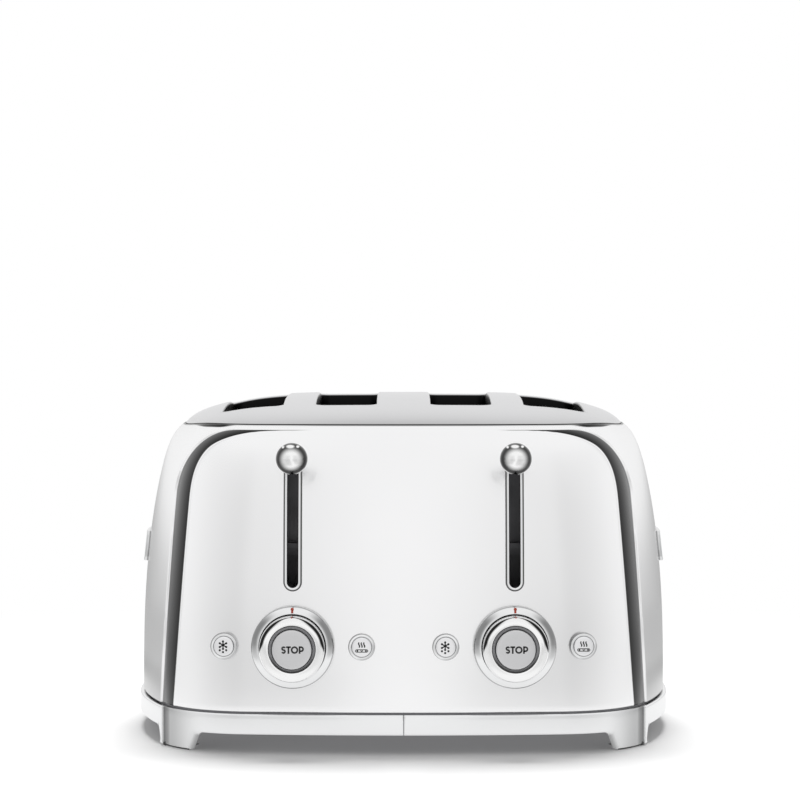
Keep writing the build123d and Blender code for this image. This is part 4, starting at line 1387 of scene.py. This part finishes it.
def camera_or_mirror(tree):
    """1 for camera, glossy and transmission rays; gives the camera's own share too."""
    path = add_node(tree, "LightPath", {})
    seen = path.outputs["Is Camera Ray"]
    total = seen
    for output in ("Is Glossy Ray", "Is Transmission Ray"):
        total = calculated(tree, "MAXIMUM", total, path.outputs[output])
    return total, seen


def level_ramp(tree, share, stops):
    """A grey ramp over the turn from the front (0 degrees) to the rear (180 degrees)."""
    ramp = add_node(tree, "ValToRGB", {"Fac": share})
    elements = ramp.color_ramp.elements
    while len(elements) < len(stops):
        elements.new(0.5)
    for element, (degrees, level) in zip(elements, stops):
        element.position = degrees / 180
        element.color = (level, level, level, 1)
    return ramp.outputs["Color"]


def smooth_range(tree, value, low, high, least=0.0):
    """A smooth rise from least at low to 1 at high."""
    node = add_node(tree, "MapRange", {"Value": value, "From Min": low, "From Max": high, "To Min": least},
                    interpolation_type="SMOOTHSTEP")
    return node.outputs["Result"]


def turn_share(tree, vector):
    """The turn from front to rear of a direction or place, 0 to 1 and the same on both sides, and its Z."""
    split = add_node(tree, "SeparateXYZ", {"Vector": vector})
    to_front = calculated(tree, "MULTIPLY", split.outputs["Y"], -1.0)
    turn = calculated(tree, "ABSOLUTE", calculated(tree, "ARCTAN2", split.outputs["X"], to_front))
    return calculated(tree, "DIVIDE", turn, math.pi), split.outputs["Z"]


def make_world():
    """White studio: a plain level for diffuse light, and soft grey zones round the horizon for the metal."""
    world = bpy.data.worlds.new("studio")
    bpy.context.scene.world = world
    world.use_nodes = True
    tree = world.node_tree
    share, height = turn_share(tree, add_node(tree, "TexCoord", {}).outputs["Generated"])
    horizon = level_ramp(tree, share, horizon_levels)
    middle = level_ramp(tree, share, middle_levels)
    around = blended(tree, smooth_range(tree, height, *horizon_height), horizon, middle)
    around = blended(tree, smooth_range(tree, height, *upper_height), around, upper_level)
    mirror, seen = camera_or_mirror(tree)
    shown = blended(tree, seen, blended(tree, mirror, diffuse_level, around), 1.0)
    tree.links.new(shown, tree.nodes["Background"].inputs["Color"])


def make_lamp():
    """A soft lamp over the toaster and a little behind it."""
    data = bpy.data.lights.new("overhead", "AREA")
    data.shape = "RECTANGLE"
    data.size, data.size_y = lamp_size
    data.energy = lamp_power
    lamp = add_object("overhead", data)
    lamp.location = lamp_place
    lamp.rotation_euler = (Vector(lamp_target) - Vector(lamp_place)).to_track_quat("-Z", "Y").to_euler()
    lamp.visible_glossy = False


def floor_material():
    """Keeps the shadow near the toaster, and gives camera and mirrors plain levels further out."""
    material, tree, shader = new_material("floor", floor_colour, 0.0, floor_roughness)
    shader.inputs["Specular IOR Level"].default_value = 0.0
    place = add_node(tree, "TexCoord", {}).outputs["Object"]
    away = add_node(tree, "VectorMath", {0: place}, operation="LENGTH").outputs["Value"]
    mirror, seen = camera_or_mirror(tree)
    glow = add_node(tree, "Mix", {"Factor": seen, "A": mirror_floor_share,
                                  "B": smooth_range(tree, away, *floor_white_from, floor_glow)})
    share = calculated(tree, "MULTIPLY", glow.outputs["Result"], mirror)
    zones = level_ramp(tree, turn_share(tree, place)[0], floor_levels)
    zones = blended(tree, smooth_range(tree, away, *floor_zones_from), near_floor_level, zones)
    white = add_node(tree, "Emission", {"Color": blended(tree, seen, zones, 1.0)})
    mix = add_node(tree, "MixShader", {"Fac": share, 1: shader.outputs["BSDF"],
                                       2: white.outputs["Emission"]})
    tree.links.new(mix.outputs["Shader"], tree.nodes["Material Output"].inputs["Surface"])
    return material


def make_floor():
    """A pale floor that runs out to plain white."""
    mesh = bpy.data.meshes.new("floor")
    corners = [(x * floor_reach, y * floor_reach, 0) for x, y in ((-1, -1), (1, -1), (1, 1), (-1, 1))]
    mesh.from_pydata(corners, [], [(0, 1, 2, 3)])
    mesh.materials.append(floor_material())
    floor = add_object("floor", mesh)


materials = make_materials()
make_camera()
paint_cad_nodes()
make_body()
make_top()
make_rings()
make_badges()
make_lever_trims()
make_lever_balls()
make_dials()
make_small_buttons()
make_stop_words()
make_dial_marks()
make_world()
make_lamp()
make_floor()
bpy.context.scene.view_settings.view_transform = "Standard"
